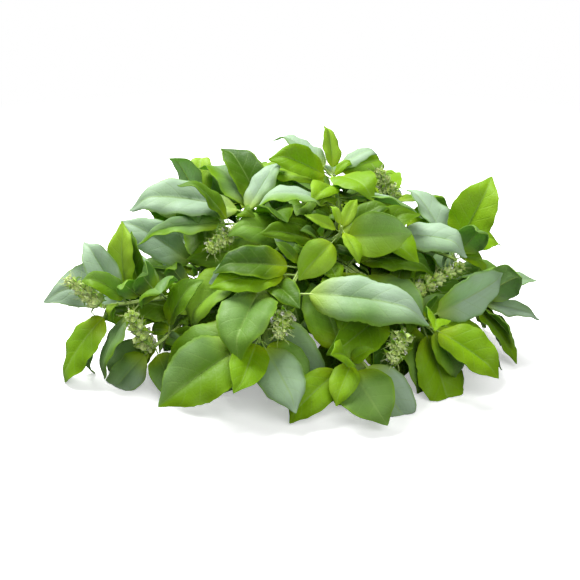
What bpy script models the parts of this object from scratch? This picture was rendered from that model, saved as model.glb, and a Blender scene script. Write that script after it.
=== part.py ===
"""Scent leaf: one cut, branching, flowering top of the herb, lying on a table.

The cut end lies at the back. The main stem rises towards the front, and pairs of side branches leave it, fanning
out to both sides, up and along the table. Leaves stand on their stalks along every branch, and about half of the
branches end in a flower spike.

Run it with: blender --background --python part.py
The script works in metres, with +Z up, +X to the right and +Y to the back. Routes and leaf sizes are given in
millimetres and turned to metres where they are read.
"""

import math
import random
from collections import namedtuple

import bmesh
import bpy
from mathutils import Matrix, Vector
from mathutils.bvhtree import BVHTree

MM = 0.001
UP = Vector((0, 0, 1))
ORIGIN = Vector((3.637, 10.852, 0)) * MM  # under the middle of the box round the whole plant

# Stems
MAIN_RADIUS = (2.3, 1.1)  # at the cut end and at the tip
BRANCH_RADIUS = (1.3, 0.8)
TIP_RADIUS = (0.9, 0.6)
RADII = {"main": MAIN_RADIUS, "tip": TIP_RADIUS}
STEM_STEP = 9.0  # length of one straight stretch of a stem
GAP = 0.35  # between one node and the next that grows from it
SHORTEST_EDGES = (0.2, 0.15, 0.1, 0.06, 0.03, 0.01)

# Leaves
BLADE_THICKNESS = 0.7
STALK_THICKNESS = 1.05
STALK_WIDTH = 1.05
STALK_SHARE = 0.19  # stalk length beside blade length
DROOP_PARTS = (0.15, 0.35, 0.50)  # of a leaf's whole droop: in its stalk, its lower blade and its upper blade
CHORD_SHARE = 0.5  # of the droop that lies between the foot's direction and the line from base to tip
OUTLINE = (0.58, 0.82)  # how pointed a blade is at its base and at its tip
FOLDS = (0.28, 0.62)  # radians that each half of a blade rises from its midrib
ARCHES = (0.15, 0.42)  # radians that it bends down again towards its margin
WAVES = (0.014, 0.034)  # height of the margin's waves beside the blade's length
TWIST = 0.5  # radians that a blade may turn along its length
BLADE_ROWS = 5
STALK_ROWS = 1
BIG_LEAF = 46.0  # from this length a blade has an arched half on each side of its midrib
BIG_ROWS = 6
SMALL_LEAF = 37.0  # below this length a blade has fewer rows
SMALL_ROWS = 4
FLOOR_SOFTNESS = 2.5  # height over which a blade that meets the table bends to lie on it
CLEARANCE = 0.2  # kept round every blade, beside half its thickness
STALK_FOOT = 0.35  # how far from a stem's axis a stalk starts, beside the stem's radius
FOOT_ROOM = 1.8  # how far out of its stem a stalk is before it has to be clear of the next one
HEART = Vector((0, 38, 5)) * MM  # the leaves face away from this point
OUTWARD = 0.85  # how far they face away from it, beside how far they face up
FACE_UP = 0.55
LYING = (4.0, 18.0)  # leaves that start this low lie more and more level

# Leaf pairs along a stem
PAIR_STEP = 26.0
PAIR_SPREAD = 62.0  # degrees between a stem and its leaves
PAIR_LENGTHS = (42.0, 28.0)  # blades near the fork and near the end
PAIR_WIDTHS = (0.46, 0.62)  # beside their length
PAIR_DROOPS = (25.0, 60.0)
RISES = (-45.0, 30.0)
PAIR_SEED = 10

# Flower spikes
WHORL_STEP = 5.4
CALYX_COUNT = 5
CALYX_LENGTH = 5.2
CALYX_RADII = (0.25, 1.5)
CALYX_TILT = 58.0  # degrees between a calyx and the axis of its spike
CALYX_SIDES = 3
CALYX_FOOT = 0.55  # how far from the spike's axis a calyx starts, beside the axis's radius
LAST_CALYX = 0.55  # size of the last whorl beside the first
SPIKE_RADIUS = (0.85, 0.55)
SPIKE_REACH = (6.0, 4.6)  # kept free round the axis of a spike
SPIKE_ROOM = 3.0  # kept free past its end
OPEN_WAY = (-90, 22)  # bearing and rise of the side on which a spike stands open to the light
OPEN_LENGTH = 70.0  # how far that side reaches
OPEN_RADII = (4.5, 4.5)
OPEN_SHARES = (0.35, 0.9)  # where along the spike
HIDDEN_SPIKES = ("back_left",)  # these stand among leaves

LEAF_GREEN = (0.13, 0.30, 0.04)
YOUNG_GREEN = (0.30, 0.48, 0.04)
FLOWER_GREEN = (0.26, 0.42, 0.09)

Branch = namedtuple("Branch", "fork route spike leaves")
Leaf = namedtuple("Leaf", "base heading normal stalk length width droop fold arch wave phase twist")

# The main stem, from its cut end at the back to the young tip in front.
MAIN_ROUTE = (
    (-18, 103, 2.3), (-11, 76, 9), (-4, 48, 24), (4, 24, 42), (12, 4, 54), (19, -10, 61), (24, -18, 65),
)

# Each branch: where it leaves the main stem as a share of its length, the points it then passes, its flower
# spike as (length, bearing, rise) if it has one, and its foremost leaves. A leaf is (share along the branch,
# bearing, rise, roll, blade length, width beside length, droop). The bearing is the way its blade points over
# the table, 0 to the right and 90 to the back. Bearing, rise, roll and droop are in degrees.
BRANCHES = {
    "left_low": Branch(0.16, (
        (-30, 54, 20), (-40, 24, 34), (-42, -6, 35), (-60, -19, 36), (-82, -20, 33),
    ), (20, 172, 38), (
        (0.66, 184, -6, 0, 65, 0.38, 44), (0.97, 202, -54, 0, 40, 0.6, 40),
        (0.88, 232, -46, 20, 34, 0.55, 30), (0.50, 178, 10, 0, 40, 0.5, 40), (0.30, 160, 40, 0, 44, 0.6, 40),
    )),
    "right_low": Branch(0.16, ((26, 56, 16), (56, 36, 22), (82, 14, 25), (94, 2, 26)), None, (
        (0.97, 4, 26, 0, 28, 0.5, 30), (0.98, 346, -10, 0, 28, 0.45, 20), (0.62, 290, -5, 0, 42, 0.6, 40),
        (0.66, 60, 10, 0, 44, 0.55, 40), (0.80, 330, 5, 0, 34, 0.55, 40),
        (0.95, 310, -36, 0, 34, 0.5, 30),
    )),
    "left_mid": Branch(0.32, ((-24, 34, 30), (-38, 4, 30), (-48, -22, 24), (-60, -32, 17)), (24, 230, 64), (
        (0.72, 185, -6, 0, 40, 0.5, 40), (0.60, 270, -20, 0, 40, 0.58, 40),
        (0.95, 204, -16, 0, 33, 0.6, 30),
    )),
    "right_mid": Branch(0.32, ((22, 28, 24), (42, 4, 27), (58, -22, 31), (66, -38, 30)), None, (
        (0.86, 357, -30, 0, 46, 0.62, 30), (0.94, 44, 34, 30, 42, 0.5, 20), (0.98, 330, -26, 0, 34, 0.62, 30),
        (0.70, 20, 0, 0, 37, 0.55, 40), (0.82, 262, -30, 0, 36, 0.55, 40), (0.80, 288, -38, 0, 38, 0.6, 30),
        (0.93, 306, -38, 0, 42, 0.55, 30),
    )),
    "back_left": Branch(0.46, ((-18, 50, 46), (-34, 44, 58), (-46, 34, 62)), (18, 150, 30), (
        (0.70, 180, -10, 0, 42, 0.55, 50), (0.96, 190, -30, 0, 36, 0.55, 40),
        (0.90, 100, -16, 0, 32, 0.55, 40), (0.50, 205, -35, 0, 44, 0.6, 50),
        (0.80, 235, -30, 0, 38, 0.6, 40),
    )),
    "back_right": Branch(0.46, ((16, 44, 46), (36, 48, 58), (54, 40, 64)), (20, 215, 62), (
        (0.60, 40, 5, 0, 42, 0.55, 40), (0.96, 350, -18, 0, 40, 0.55, 50), (0.93, 90, 5, 0, 38, 0.55, 40),
        (0.97, 20, -5, 0, 30, 0.5, 30), (0.45, 110, 25, 0, 42, 0.6, 40), (0.70, 60, -20, 0, 40, 0.6, 40),
    )),
    "front_left": Branch(0.57, ((-6, 10, 34), (-10, -18, 38), (-11, -42, 37), (-10, -52, 29)), None, (
        (0.86, 199, -17, 0, 44, 0.62, 40), (0.97, 214, -22, 0, 46, 0.62, 30),
        (0.98, 300, -30, 0, 34, 0.6, 30), (0.70, 240, -30, 0, 38, 0.55, 40),
        (0.80, 330, -24, 0, 38, 0.58, 40), (0.97, 256, -44, 0, 30, 0.55, 30),
    )),
    "right_up": Branch(0.57, ((26, 14, 54), (52, 14, 54), (74, 12, 48), (84, 9, 45)), None, (
        (0.97, 26, 60, -50, 37, 0.62, 20), (0.98, 170, 40, -30, 38, 0.5, 30), (0.55, 335, 0, 0, 40, 0.55, 40),
        (0.62, 100, 20, 0, 38, 0.55, 40), (0.40, 310, -8, 0, 38, 0.6, 40), (0.85, 20, 12, 0, 36, 0.5, 40),
    )),
    "left_up": Branch(0.69, ((0, -4, 52), (-5, -14, 53), (-7, -22, 52), (-7, -29, 49)), None, (
        (0.62, 207, -14, 0, 46, 0.55, 50), (0.98, 268, -38, 0, 42, 0.62, 30),
        (0.84, 234, -20, 0, 24, 0.75, 30), (0.45, 176, -6, 0, 40, 0.5, 40),
        (0.30, 230, -30, 0, 38, 0.55, 40),
    )),
    "right_front": Branch(0.69, ((28, -6, 50), (42, -12, 40), (54, -13, 34)), (34, 20, 22), (
        (0.60, 322, -24, 0, 40, 0.58, 40), (0.75, 60, 14, 0, 36, 0.55, 40), (0.93, 290, -34, 0, 36, 0.5, 40),
    )),
    "top_left": Branch(0.79, ((4, 14, 60), (-6, 17, 63), (-16, 10, 66), (-24, 0, 64)), (16, 235, -20), (
        (0.62, 194, 8, 0, 54, 0.44, 40), (0.46, 138, 24, 0, 42, 0.72, 30), (0.82, 50, 40, 0, 32, 0.5, 20),
        (0.90, 188, -12, 0, 42, 0.58, 40),
    )),
    "front_right": Branch(0.79, ((34, -14, 46), (50, -30, 36), (54, -42, 31)), (18, 248, -22), (
        (0.78, 272, -40, 0, 36, 0.6, 30),
    )),
    "top": Branch(0.88, ((26, 4, 66), (26, 18, 75), (24, 34, 80)), None, (
        (0.45, 196, 8, 0, 36, 0.5, 60), (0.60, 342, 0, 0, 36, 0.7, 30),
        (0.97, 98, 44, 0, 26, 0.42, 30), (0.95, 344, -14, 20, 33, 0.6, 40), (0.90, 196, 26, -20, 30, 0.6, 30),
        (0.80, 250, 34, 0, 24, 0.6, 30), (0.98, 30, 4, 20, 30, 0.55, 40),
        (0.72, 158, 10, 0, 34, 0.6, 30), (0.98, 150, 26, 0, 32, 0.6, 40),
        (0.35, 120, 10, 0, 40, 0.6, 30), (0.55, 60, -10, 0, 38, 0.6, 30),
    )),
    "front": Branch(0.88, ((22, -22, 48), (32, -40, 34), (33, -52, 24), (27, -58, 21)), None, (
        (0.97, 154, 36, 0, 37, 0.64, 20), (0.98, 300, -26, 0, 29, 0.85, 15), (0.88, 342, -34, 0, 35, 0.6, 30),
        (0.80, 232, -44, 0, 30, 0.6, 30),
    )),
    "front_mid": Branch(0.95, ((10, -28, 57), (4, -38, 50), (1, -45, 43)), (14, 260, -30), (
        (0.85, 345, -20, 0, 56, 0.42, 50), (0.60, 190, -30, 0, 34, 0.55, 40),
    )),
}

# The main stem's own foremost leaves, given in the same way.
MAIN_LEAVES = (
    (0.30, 100, 30, 0, 44, 0.55, 40), (0.44, 320, 10, 0, 40, 0.55, 40), (0.55, 90, 30, 0, 42, 0.55, 40),
    (0.84, 192, 0, 0, 36, 0.55, 40), (0.84, 350, -6, 0, 34, 0.6, 40), (0.14, 178, -16, 0, 48, 0.52, 24),
    (0.14, 12, -16, 0, 48, 0.52, 24), (0.66, 60, 20, 0, 40, 0.55, 40),
)

# The young tip.
TIP_ROUTE = ((24.2, -18.5, 65.3), (26, -21, 69), (26.5, -23, 73))
TIP_LEAVES = (
    (0.20, 347, 8, 35, 29, 0.72, 30), (0.20, 222, -30, -20, 24, 0.66, 30), (0.60, 60, 40, 0, 16, 0.4, 20),
    (0.60, 200, 30, 0, 16, 0.4, 20), (0.85, 296, -34, 0, 17, 0.5, 30), (0.90, 120, 50, 0, 10, 0.4, 20),
)

# How a leaf that would cross another is swung on its stalk, in degrees of bearing and rise, nearest first.
SWINGS = sorted(
    ((turn, lift) for turn in range(-48, 49, 8) for lift in range(-32, 41, 8)),
    key=lambda swing: (abs(swing[0]) + abs(swing[1]), swing),
)


def clear_scene():
    """Removes the startup objects."""
    for item in list(bpy.data.objects):
        bpy.data.objects.remove(item)


def metres(points):
    return [Vector(point) * MM for point in points]


def catmull(points, share):
    """The point at a share, 0 to 1 by number of spans, of a smooth curve through the points."""
    spans = len(points) - 1
    place = min(max(share, 0.0), 1.0) * spans
    start = min(int(place), spans - 1)
    t = place - start
    a = points[start - 1] if start else points[0] * 2 - points[1]
    b, c = points[start], points[start + 1]
    d = points[start + 2] if start + 2 <= spans else c * 2 - b
    return 0.5 * (2 * b + (c - a) * t + (2 * a - 5 * b + 4 * c - d) * t**2 + (3 * b - a - 3 * c + d) * t**3)


class Route:
    """A smooth line through points, read by its share of length."""

    SAMPLES = 96

    def __init__(self, points):
        self.points = [catmull(points, i / self.SAMPLES) for i in range(self.SAMPLES + 1)]
        self.runs = [0.0]
        for a, b in zip(self.points, self.points[1:]):
            self.runs.append(self.runs[-1] + (b - a).length)
        self.length = self.runs[-1]

    def at(self, share):
        run = min(max(share, 0.0), 1.0) * self.length
        i = next((k for k, end in enumerate(self.runs[1:]) if end >= run), self.SAMPLES - 1)
        t = (run - self.runs[i]) / max(self.runs[i + 1] - self.runs[i], 1e-9)
        return self.points[i].lerp(self.points[i + 1], t)

    def direction(self, share):
        step = 0.01
        return (self.at(share + step) - self.at(share - step)).normalized()


def blend(pair, share):
    return pair[0] + (pair[1] - pair[0]) * share


def aim(bearing, rise):
    """The unit vector of a bearing over the table and a rise above it, in degrees."""
    b, r = math.radians(bearing), math.radians(rise)
    return Vector((math.cos(b) * math.cos(r), math.sin(b) * math.cos(r), math.sin(r)))


def out_of_stem(point, along, radius, heading, half_width):
    """Where a branch with a flat end starts so that it stays GAP clear of the stem that it grows from."""
    side = heading - along * heading.dot(along)
    slope = max(side.length, 0.35)
    across = abs(heading.dot(along))
    return point + heading * ((radius + GAP * MM + half_width * across) / slope)


def off_axis(point, along, way, distance):
    """The foot, beside a stem's axis and under its surface, of something that leaves the stem this way."""
    side = (way - along * way.dot(along)).normalized()
    return point + side * distance


def make_leaf(rng, base, spec, swing=(0, 0)):
    """A Leaf from its entry in a list, swung on its stalk."""
    _, bearing, rise, roll, length, width, droop = spec
    chord = aim(bearing + swing[0], rise + swing[1])
    outward = (base + chord * length * 0.6 * MM - HEART).normalized()
    raised = min(max((base.z / MM - LYING[0]) / (LYING[1] - LYING[0]), 0.0), 1.0)
    normal = UP * FACE_UP + outward * OUTWARD * raised
    normal = (normal - chord * normal.dot(chord)).normalized()
    normal = Matrix.Rotation(math.radians(roll) + rng.uniform(-0.25, 0.25), 3, chord) @ normal
    lead = math.radians(droop) * CHORD_SHARE
    heading = chord * math.cos(lead) + normal * math.sin(lead)
    normal = normal * math.cos(lead) - chord * math.sin(lead)
    return Leaf(
        base=base,
        heading=heading,
        normal=normal,
        stalk=length * STALK_SHARE * MM,
        length=length * MM,
        width=length * width * MM,
        droop=math.radians(droop),
        fold=rng.uniform(*FOLDS),
        arch=rng.uniform(*ARCHES),
        wave=length * rng.uniform(*WAVES) * MM,
        phase=rng.uniform(0, 2 * math.pi),
        twist=rng.uniform(-TWIST, TWIST),
    )


def spine(leaf, run):
    """Point, direction and normal of a leaf's midrib at a distance from the foot of its stalk."""
    point, heading, normal = leaf.base, leaf.heading, leaf.normal
    lengths = (leaf.stalk, leaf.length * 0.55, leaf.length * 0.45)
    arcs = zip(lengths, (leaf.droop * part for part in DROOP_PARTS))
    for length, turn in arcs:
        step = min(run, length)
        if step <= 0:
            break
        bend = turn / length
        angle = bend * step
        point = point + heading * (math.sin(angle) / bend) - normal * ((1 - math.cos(angle)) / bend)
        heading, normal = (
            heading * math.cos(angle) - normal * math.sin(angle),
            normal * math.cos(angle) + heading * math.sin(angle),
        )
        run -= step
    return point, heading, normal


def outline(u):
    """Half width of a blade beside its greatest, at a share of its length: rounded base, drawn-out tip."""
    low, high = OUTLINE
    widest = low / (low + high)
    return (u / widest) ** low * ((1 - u) / (1 - widest)) ** high if 0 < u < 1 else 0.0


def above_table(point, half):
    """A point of a blade's middle, moved up so that the blade bends to lie on the table."""
    soft = FLOOR_SOFTNESS * MM
    if point.z >= half + soft:
        return point
    if point.z <= half - soft:
        return Vector((point.x, point.y, half))
    return Vector((point.x, point.y, half + (point.z - half + soft) ** 2 / (4 * soft)))


def blade_point(leaf, run, v):
    """The point of the leaf's middle surface at a distance along it and a share v, -1 to 1, across it."""
    u = min(max((run - leaf.stalk) / leaf.length, 0.0), 1.0)
    point, heading, normal = spine(leaf, run)
    turn = Matrix.Rotation(leaf.twist * u, 3, heading)
    normal = turn @ normal
    side = normal.cross(heading)
    share = outline(u)
    width = max(leaf.width / 2 * share, STALK_WIDTH * MM / 2 * (1 - 0.6 * u))
    slope = leaf.fold - leaf.arch * abs(v)
    lift = width * share * (leaf.fold * abs(v) - leaf.arch * v * v)
    lift += leaf.wave * share * v * v * math.sin(3.2 * math.pi * u + leaf.phase + (1.4 if v > 0 else 0.0))
    across = width * v * math.cos(slope * share)
    return above_table(point + side * across + normal * lift, BLADE_THICKNESS * MM / 2)


def leaf_runs(leaf, rows, stalk_rows, start):
    """Distances along the leaf at which it has rows of points, closer together at the blade's two ends."""
    runs = [blend((start, leaf.stalk), i / stalk_rows) for i in range(stalk_rows)]
    for i in range(rows + 1):
        u = 0.5 - 0.5 * math.cos(math.pi * (0.06 + 0.94 * i / rows))
        runs.append(leaf.stalk + leaf.length * (u if i else 0.0))
    return runs


def leaf_mesh(leaf, rows, stalk_rows, columns, start=0.0):
    """The leaf's middle surface as a bmesh, split into triangles so that both faces get the same ones."""
    runs = leaf_runs(leaf, rows, stalk_rows, start)
    sheet = bmesh.new()
    bmesh.ops.create_grid(sheet, x_segments=len(runs) - 1, y_segments=columns, size=1)
    for vert in sheet.verts:
        row = round((vert.co.x + 1) / 2 * (len(runs) - 1))
        vert.co = blade_point(leaf, runs[row], vert.co.y)
    bmesh.ops.triangulate(sheet, faces=sheet.faces, quad_method="SHORT_EDGE")
    sheet.normal_update()
    return sheet


def guard(sheet, half):
    """A search tree of a sheet thickened by half on each side."""
    corners, faces = [], []
    for face in sheet.faces:
        for sign in (1, -1):
            start = len(corners)
            corners.extend(vert.co + vert.normal * half * sign for vert in face.verts)
            faces.append([start, start + 1, start + 2])
    for edge in sheet.edges:
        if len(edge.link_faces) == 1:
            start = len(corners)
            for vert, sign in zip((*edge.verts, *reversed(edge.verts)), (1, 1, -1, -1)):
                corners.append(vert.co + vert.normal * half * sign)
            faces.append([start, start + 1, start + 2])
            faces.append([start, start + 2, start + 3])
    return BVHTree.FromPolygons(corners, faces)


def tube_guard(route, radii, start=0.0, end=1.0):
    """A search tree of a six-sided tube along a route."""
    corners, faces, sides, rings = [], [], 6, 10
    for i in range(rings + 1):
        share = start + (end - start) * i / rings
        along = route.direction(share)
        across = along.orthogonal().normalized()
        for k in range(sides):
            turn = Matrix.Rotation(2 * math.pi * k / sides, 3, along)
            corners.append(route.at(share) + turn @ across * blend(radii, share) * MM)
    for i in range(rings):
        for k in range(sides):
            a, b = i * sides + k, i * sides + (k + 1) % sides
            faces.append([a, b, b + sides, a + sides])
    return BVHTree.FromPolygons(corners, faces)


def material(name, colour, roughness=0.5):
    made = bpy.data.materials.get(name) or bpy.data.materials.new(name)
    made.use_nodes = True
    shader = made.node_tree.nodes["Principled BSDF"]
    shader.inputs["Base Color"].default_value = (*colour, 1)
    shader.inputs["Roughness"].default_value = roughness
    return made


def add_object(name, mesh, collection, finish=None):
    item = bpy.data.objects.new(name, mesh)
    collection.objects.link(item)
    if finish:
        mesh.materials.append(finish)
    return item


def mesh_from(sheet, name):
    mesh = bpy.data.meshes.new(name)
    sheet.to_mesh(mesh)
    sheet.free()
    return mesh


def stem_mesh(name, route, radii, collection):
    """The mesh of a tapering four-angled stem along a route."""
    curve = bpy.data.curves.new(name, "CURVE")
    curve.dimensions = "3D"
    curve.bevel_depth = MM
    curve.bevel_resolution = 0
    curve.use_fill_caps = True
    count = max(3, round(route.length / (STEM_STEP * MM)) + 1)
    line = curve.splines.new("POLY")
    line.points.add(count - 1)
    for i, point in enumerate(line.points):
        share = i / (count - 1)
        point.co = (*route.at(share), 1)
        point.radius = blend(radii, share)
    guide = bpy.data.objects.new(name + "_line", curve)
    collection.objects.link(guide)
    bpy.context.view_layer.update()
    graph = bpy.context.evaluated_depsgraph_get()
    mesh = bpy.data.meshes.new_from_object(guide.evaluated_get(graph))
    bpy.data.objects.remove(guide)
    shell = bmesh.new()
    shell.from_mesh(mesh)
    bmesh.ops.remove_doubles(shell, verts=shell.verts, dist=1e-6)
    bmesh.ops.triangulate(shell, faces=shell.faces)
    shell.to_mesh(mesh)
    shell.free()
    mesh.name = name
    return mesh


def use_modifiers(item):
    """Gives an object the mesh that its modifiers make, and removes them."""
    bpy.context.view_layer.update()
    graph = bpy.context.evaluated_depsgraph_get()
    made = bpy.data.meshes.new_from_object(item.evaluated_get(graph))
    item.modifiers.clear()
    item.data = made


def fuse(body, extras):
    """Joins the extra objects to the body with one Boolean union, and removes them."""
    together = bpy.data.collections.new(body.name + "_extras")
    bpy.context.scene.collection.children.link(together)
    for item in extras:
        for home in list(item.users_collection):
            home.objects.unlink(item)
        together.objects.link(item)
    union = body.modifiers.new("union", "BOOLEAN")
    union.operation = "UNION"
    union.solver = "MANIFOLD"
    union.operand_type = "COLLECTION"
    union.collection = together
    use_modifiers(body)
    for item in extras:
        bpy.data.objects.remove(item)
    bpy.data.collections.remove(together)
    clean_joints(body.data)


def clean_joints(mesh):
    """Merges the tiny edges that the union leaves where the pieces meet, as far as the mesh stays closed."""
    for shortest in SHORTEST_EDGES:
        joined = bmesh.new()
        joined.from_mesh(mesh)
        bmesh.ops.triangulate(joined, faces=joined.faces)
        short = [edge for edge in joined.edges if edge.calc_length() < shortest * MM]
        bmesh.ops.collapse(joined, edges=short)
        bmesh.ops.dissolve_degenerate(joined, dist=shortest * MM * 0.5, edges=joined.edges)
        bmesh.ops.delete(joined, geom=[vert for vert in joined.verts if not vert.link_faces], context="VERTS")
        bmesh.ops.triangulate(joined, faces=joined.faces)
        closed = all(len(edge.link_faces) == 2 for edge in joined.edges)
        if closed:
            joined.to_mesh(mesh)
        joined.free()
        if closed:
            return


def thicken(item, leaf):
    """Gives a leaf's sheet its thickness, more along the stalk than in the blade."""
    stalk = item.vertex_groups.new(name="stalk")
    thin = BLADE_THICKNESS / STALK_THICKNESS
    for vert in item.data.vertices:
        along = (vert.co - leaf.base).length / max(leaf.stalk, 1e-6)
        weight = 1.0 if along < 0.9 else max(thin, 1.0 - (along - 0.9) * 2.0)
        stalk.add([vert.index], weight, "REPLACE")
    solid = item.modifiers.new("thickness", "SOLIDIFY")
    solid.thickness = STALK_THICKNESS * MM
    solid.offset = 0
    solid.use_even_offset = True
    solid.vertex_group = "stalk"


def leaf_size(leaf):
    """Rows of the blade, rows of the stalk and columns of a leaf's sheet."""
    if leaf.length >= BIG_LEAF * MM:
        return BIG_ROWS, STALK_ROWS, 4
    return (BLADE_ROWS if leaf.length >= SMALL_LEAF * MM else SMALL_ROWS), STALK_ROWS, 2


def build_leaf(name, leaf, collection, finish):
    sheet = leaf_mesh(leaf, *leaf_size(leaf))
    item = add_object(name, mesh_from(sheet, name), collection, finish)
    thicken(item, leaf)
    use_modifiers(item)
    return item


def pair_specs(rng, route):
    """Opposite pairs of leaves along a stem, each pair a quarter turn from the one before it."""
    count = max(2, round(route.length / (PAIR_STEP * MM)))
    first = rng.uniform(0, math.pi)
    for i in range(count):
        share = min((i + 1) / count, 0.985)
        along = route.direction(share)
        across = along.orthogonal().normalized()
        for side in (0, 1):
            turn = Matrix.Rotation(first + math.pi * (side + i / 2) + rng.uniform(-0.25, 0.25), 3, along)
            spread = math.radians(PAIR_SPREAD * rng.uniform(0.8, 1.2))
            heading = along * math.cos(spread) + turn @ across * math.sin(spread)
            bearing = math.degrees(math.atan2(heading.y, heading.x))
            length = blend(PAIR_LENGTHS, share) * rng.uniform(0.85, 1.15)
            reach = max(-1.0, -(route.at(share).z / MM - 4) / length)
            rise = max(math.degrees(math.asin(heading.z)), RISES[0], math.degrees(math.asin(reach)))
            rise = min(rise, RISES[1])
            yield share, bearing, rise, 0, length, rng.uniform(*PAIR_WIDTHS), rng.uniform(*PAIR_DROOPS)


def leaf_guard(leaf, start):
    """A search tree of a leaf from a distance along it to its tip."""
    sheet = leaf_mesh(leaf, *leaf_size(leaf), start=start)
    tree = guard(sheet, (BLADE_THICKNESS / 2 + CLEARANCE) * MM)
    sheet.free()
    return tree


def meets(name, blade, whole, guards):
    """Whether a leaf crosses anything placed before it, but for the foot beside its own stem's growth."""
    for owner, other_blade, other_whole in guards:
        if blade.overlap(other_blade) if owner == name else whole.overlap(other_whole):
            return True
    return False


def place_leaf(name, route, radii, spec, guards):
    """The leaf of an entry, swung the least that keeps it clear of everything placed before it, or none."""
    radius = blend(radii, spec[0]) * MM
    for swing in SWINGS:
        way = aim(spec[1] + swing[0], spec[2] + swing[1])
        base = off_axis(route.at(spec[0]), route.direction(spec[0]), way, radius * STALK_FOOT)
        leaf = make_leaf(random.Random(f"{name} {spec[0]:.3f} {spec[1]:.0f}"), base, spec, swing)
        blade, whole = leaf_guard(leaf, radius + FOOT_ROOM * MM), leaf_guard(leaf, radius)
        if not meets(name, blade, whole, guards):
            guards.append((name, blade, whole))
            return leaf
    return None


def spike_route(route, spike):
    """The axis of the flower spike at the end of a branch."""
    length, bearing, rise = spike
    end, way = route.direction(1), aim(bearing, rise)
    tilt = (way - end * way.dot(end)).length
    start = route.at(1) + end * (GAP + SPIKE_RADIUS[0] * tilt) * MM
    return Route([start, start + way * length * MM])


def open_side(point):
    """A search tree of the room that leaves keep free between a spike and the light in front of it."""
    return tube_guard(Route([point, point + aim(*OPEN_WAY) * OPEN_LENGTH * MM]), OPEN_RADII)


def around(name, tree):
    """The entry of a stem's or a spike's search tree among the guards."""
    return name, tree, tree


def plant():
    """Every route, leaf and spike of the plant, in the order in which they are placed."""
    main = Route(metres(MAIN_ROUTE))
    routes = {"main": main, "tip": Route(metres(TIP_ROUTE))}
    guards = [around("main", tube_guard(main, [r + 0.3 for r in MAIN_RADIUS]))]
    for name, branch in BRANCHES.items():
        fork = main.at(branch.fork)
        along = main.direction(branch.fork)
        first = (metres(branch.route)[0] - fork).normalized()
        start = out_of_stem(fork, along, blend(MAIN_RADIUS, branch.fork) * MM, first, BRANCH_RADIUS[0] * MM)
        routes[name] = Route([start, *metres(branch.route)])
        guards.append(around(name, tube_guard(routes[name], [r + 0.3 for r in BRANCH_RADIUS], 0.05)))
        if branch.spike:
            length, bearing, rise = branch.spike
            axis = spike_route(routes[name], (length + SPIKE_ROOM, bearing, rise))
            guards.append(around(name, tube_guard(axis, SPIKE_REACH)))
            if name not in HIDDEN_SPIKES:
                guards += [around(name, open_side(axis.at(share))) for share in OPEN_SHARES]
    leaves = {name: [] for name in routes}
    for name, spec in ordered_specs(routes):
        leaf = place_leaf(name, routes[name], RADII.get(name, BRANCH_RADIUS), spec, guards)
        if leaf:
            leaves[name].append(leaf)
    return routes, leaves


def ordered_specs(routes):
    """Every leaf's stem and entry in the order of placing: the tip's, the foremost by size, the pairs."""
    foremost = [("main", spec) for spec in MAIN_LEAVES]
    foremost += [(name, spec) for name, branch in BRANCHES.items() for spec in branch.leaves]
    foremost.sort(key=lambda entry: -entry[1][4])
    pairs = []
    for name in BRANCHES:
        rng = random.Random(f"{name} {PAIR_SEED}")
        pairs += [(name, spec) for spec in pair_specs(rng, routes[name])]
    return [("tip", spec) for spec in TIP_LEAVES] + foremost + pairs


def add_leafy_stem(name, route, radii, leaves, home, finish):
    """One stem with its leaves, fused to one body."""
    mesh = stem_mesh(name, route, radii, home)
    stem = add_object(name, mesh, home, finish)
    fuse(stem, [build_leaf(name + "_leaf", leaf, home, finish) for leaf in leaves])
    settle(stem)


def add_calyx(name, foot, way, size, home, finish):
    """A flared cup with its narrow foot in the spike's axis."""
    cup = bmesh.new()
    bmesh.ops.create_cone(
        cup, cap_ends=True, segments=CALYX_SIDES, radius1=CALYX_RADII[0] * size * MM,
        radius2=CALYX_RADII[1] * size * MM, depth=CALYX_LENGTH * size * MM,
    )
    bmesh.ops.translate(cup, verts=cup.verts, vec=(0, 0, CALYX_LENGTH * size * MM / 2))
    turn = UP.rotation_difference(way).to_matrix().to_4x4()
    bmesh.ops.transform(cup, verts=cup.verts, matrix=Matrix.Translation(foot) @ turn)
    bmesh.ops.triangulate(cup, faces=cup.faces)
    return add_object(name, mesh_from(cup, name), home, finish)


def calyx_places(axis):
    """Foot, direction and size of every calyx of a spike, each whorl turned against the one before it."""
    count = max(2, round(axis.length / (WHORL_STEP * MM)))
    along = axis.direction(0.5)
    across = along.orthogonal().normalized()
    tilt = math.radians(CALYX_TILT)
    for whorl in range(count):
        share = (whorl + 0.35) / count
        size = blend((1.0, LAST_CALYX), share)
        for k in range(CALYX_COUNT):
            turn = Matrix.Rotation(2 * math.pi * (k + whorl / 2) / CALYX_COUNT, 3, along)
            way = along * math.cos(tilt) + turn @ across * math.sin(tilt)
            inset = blend(SPIKE_RADIUS, share) * CALYX_FOOT * MM
            yield off_axis(axis.at(share), along, way, inset), way, size


def add_spike(name, axis, home, finish):
    """A flower spike: its axis with whorls of calyces, fused to one body."""
    body = add_object(name, stem_mesh(name, axis, SPIKE_RADIUS, home), home, finish)
    fuse(body, [add_calyx(name + "_calyx", *place, home, finish) for place in calyx_places(axis)])
    settle(body)


def settle(item):
    """Presses the parts of a mesh that would pass the table flat on it, and moves it to the row's origin."""
    for vert in item.data.vertices:
        vert.co.z = max(vert.co.z, 0.0)
        vert.co -= ORIGIN


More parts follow.
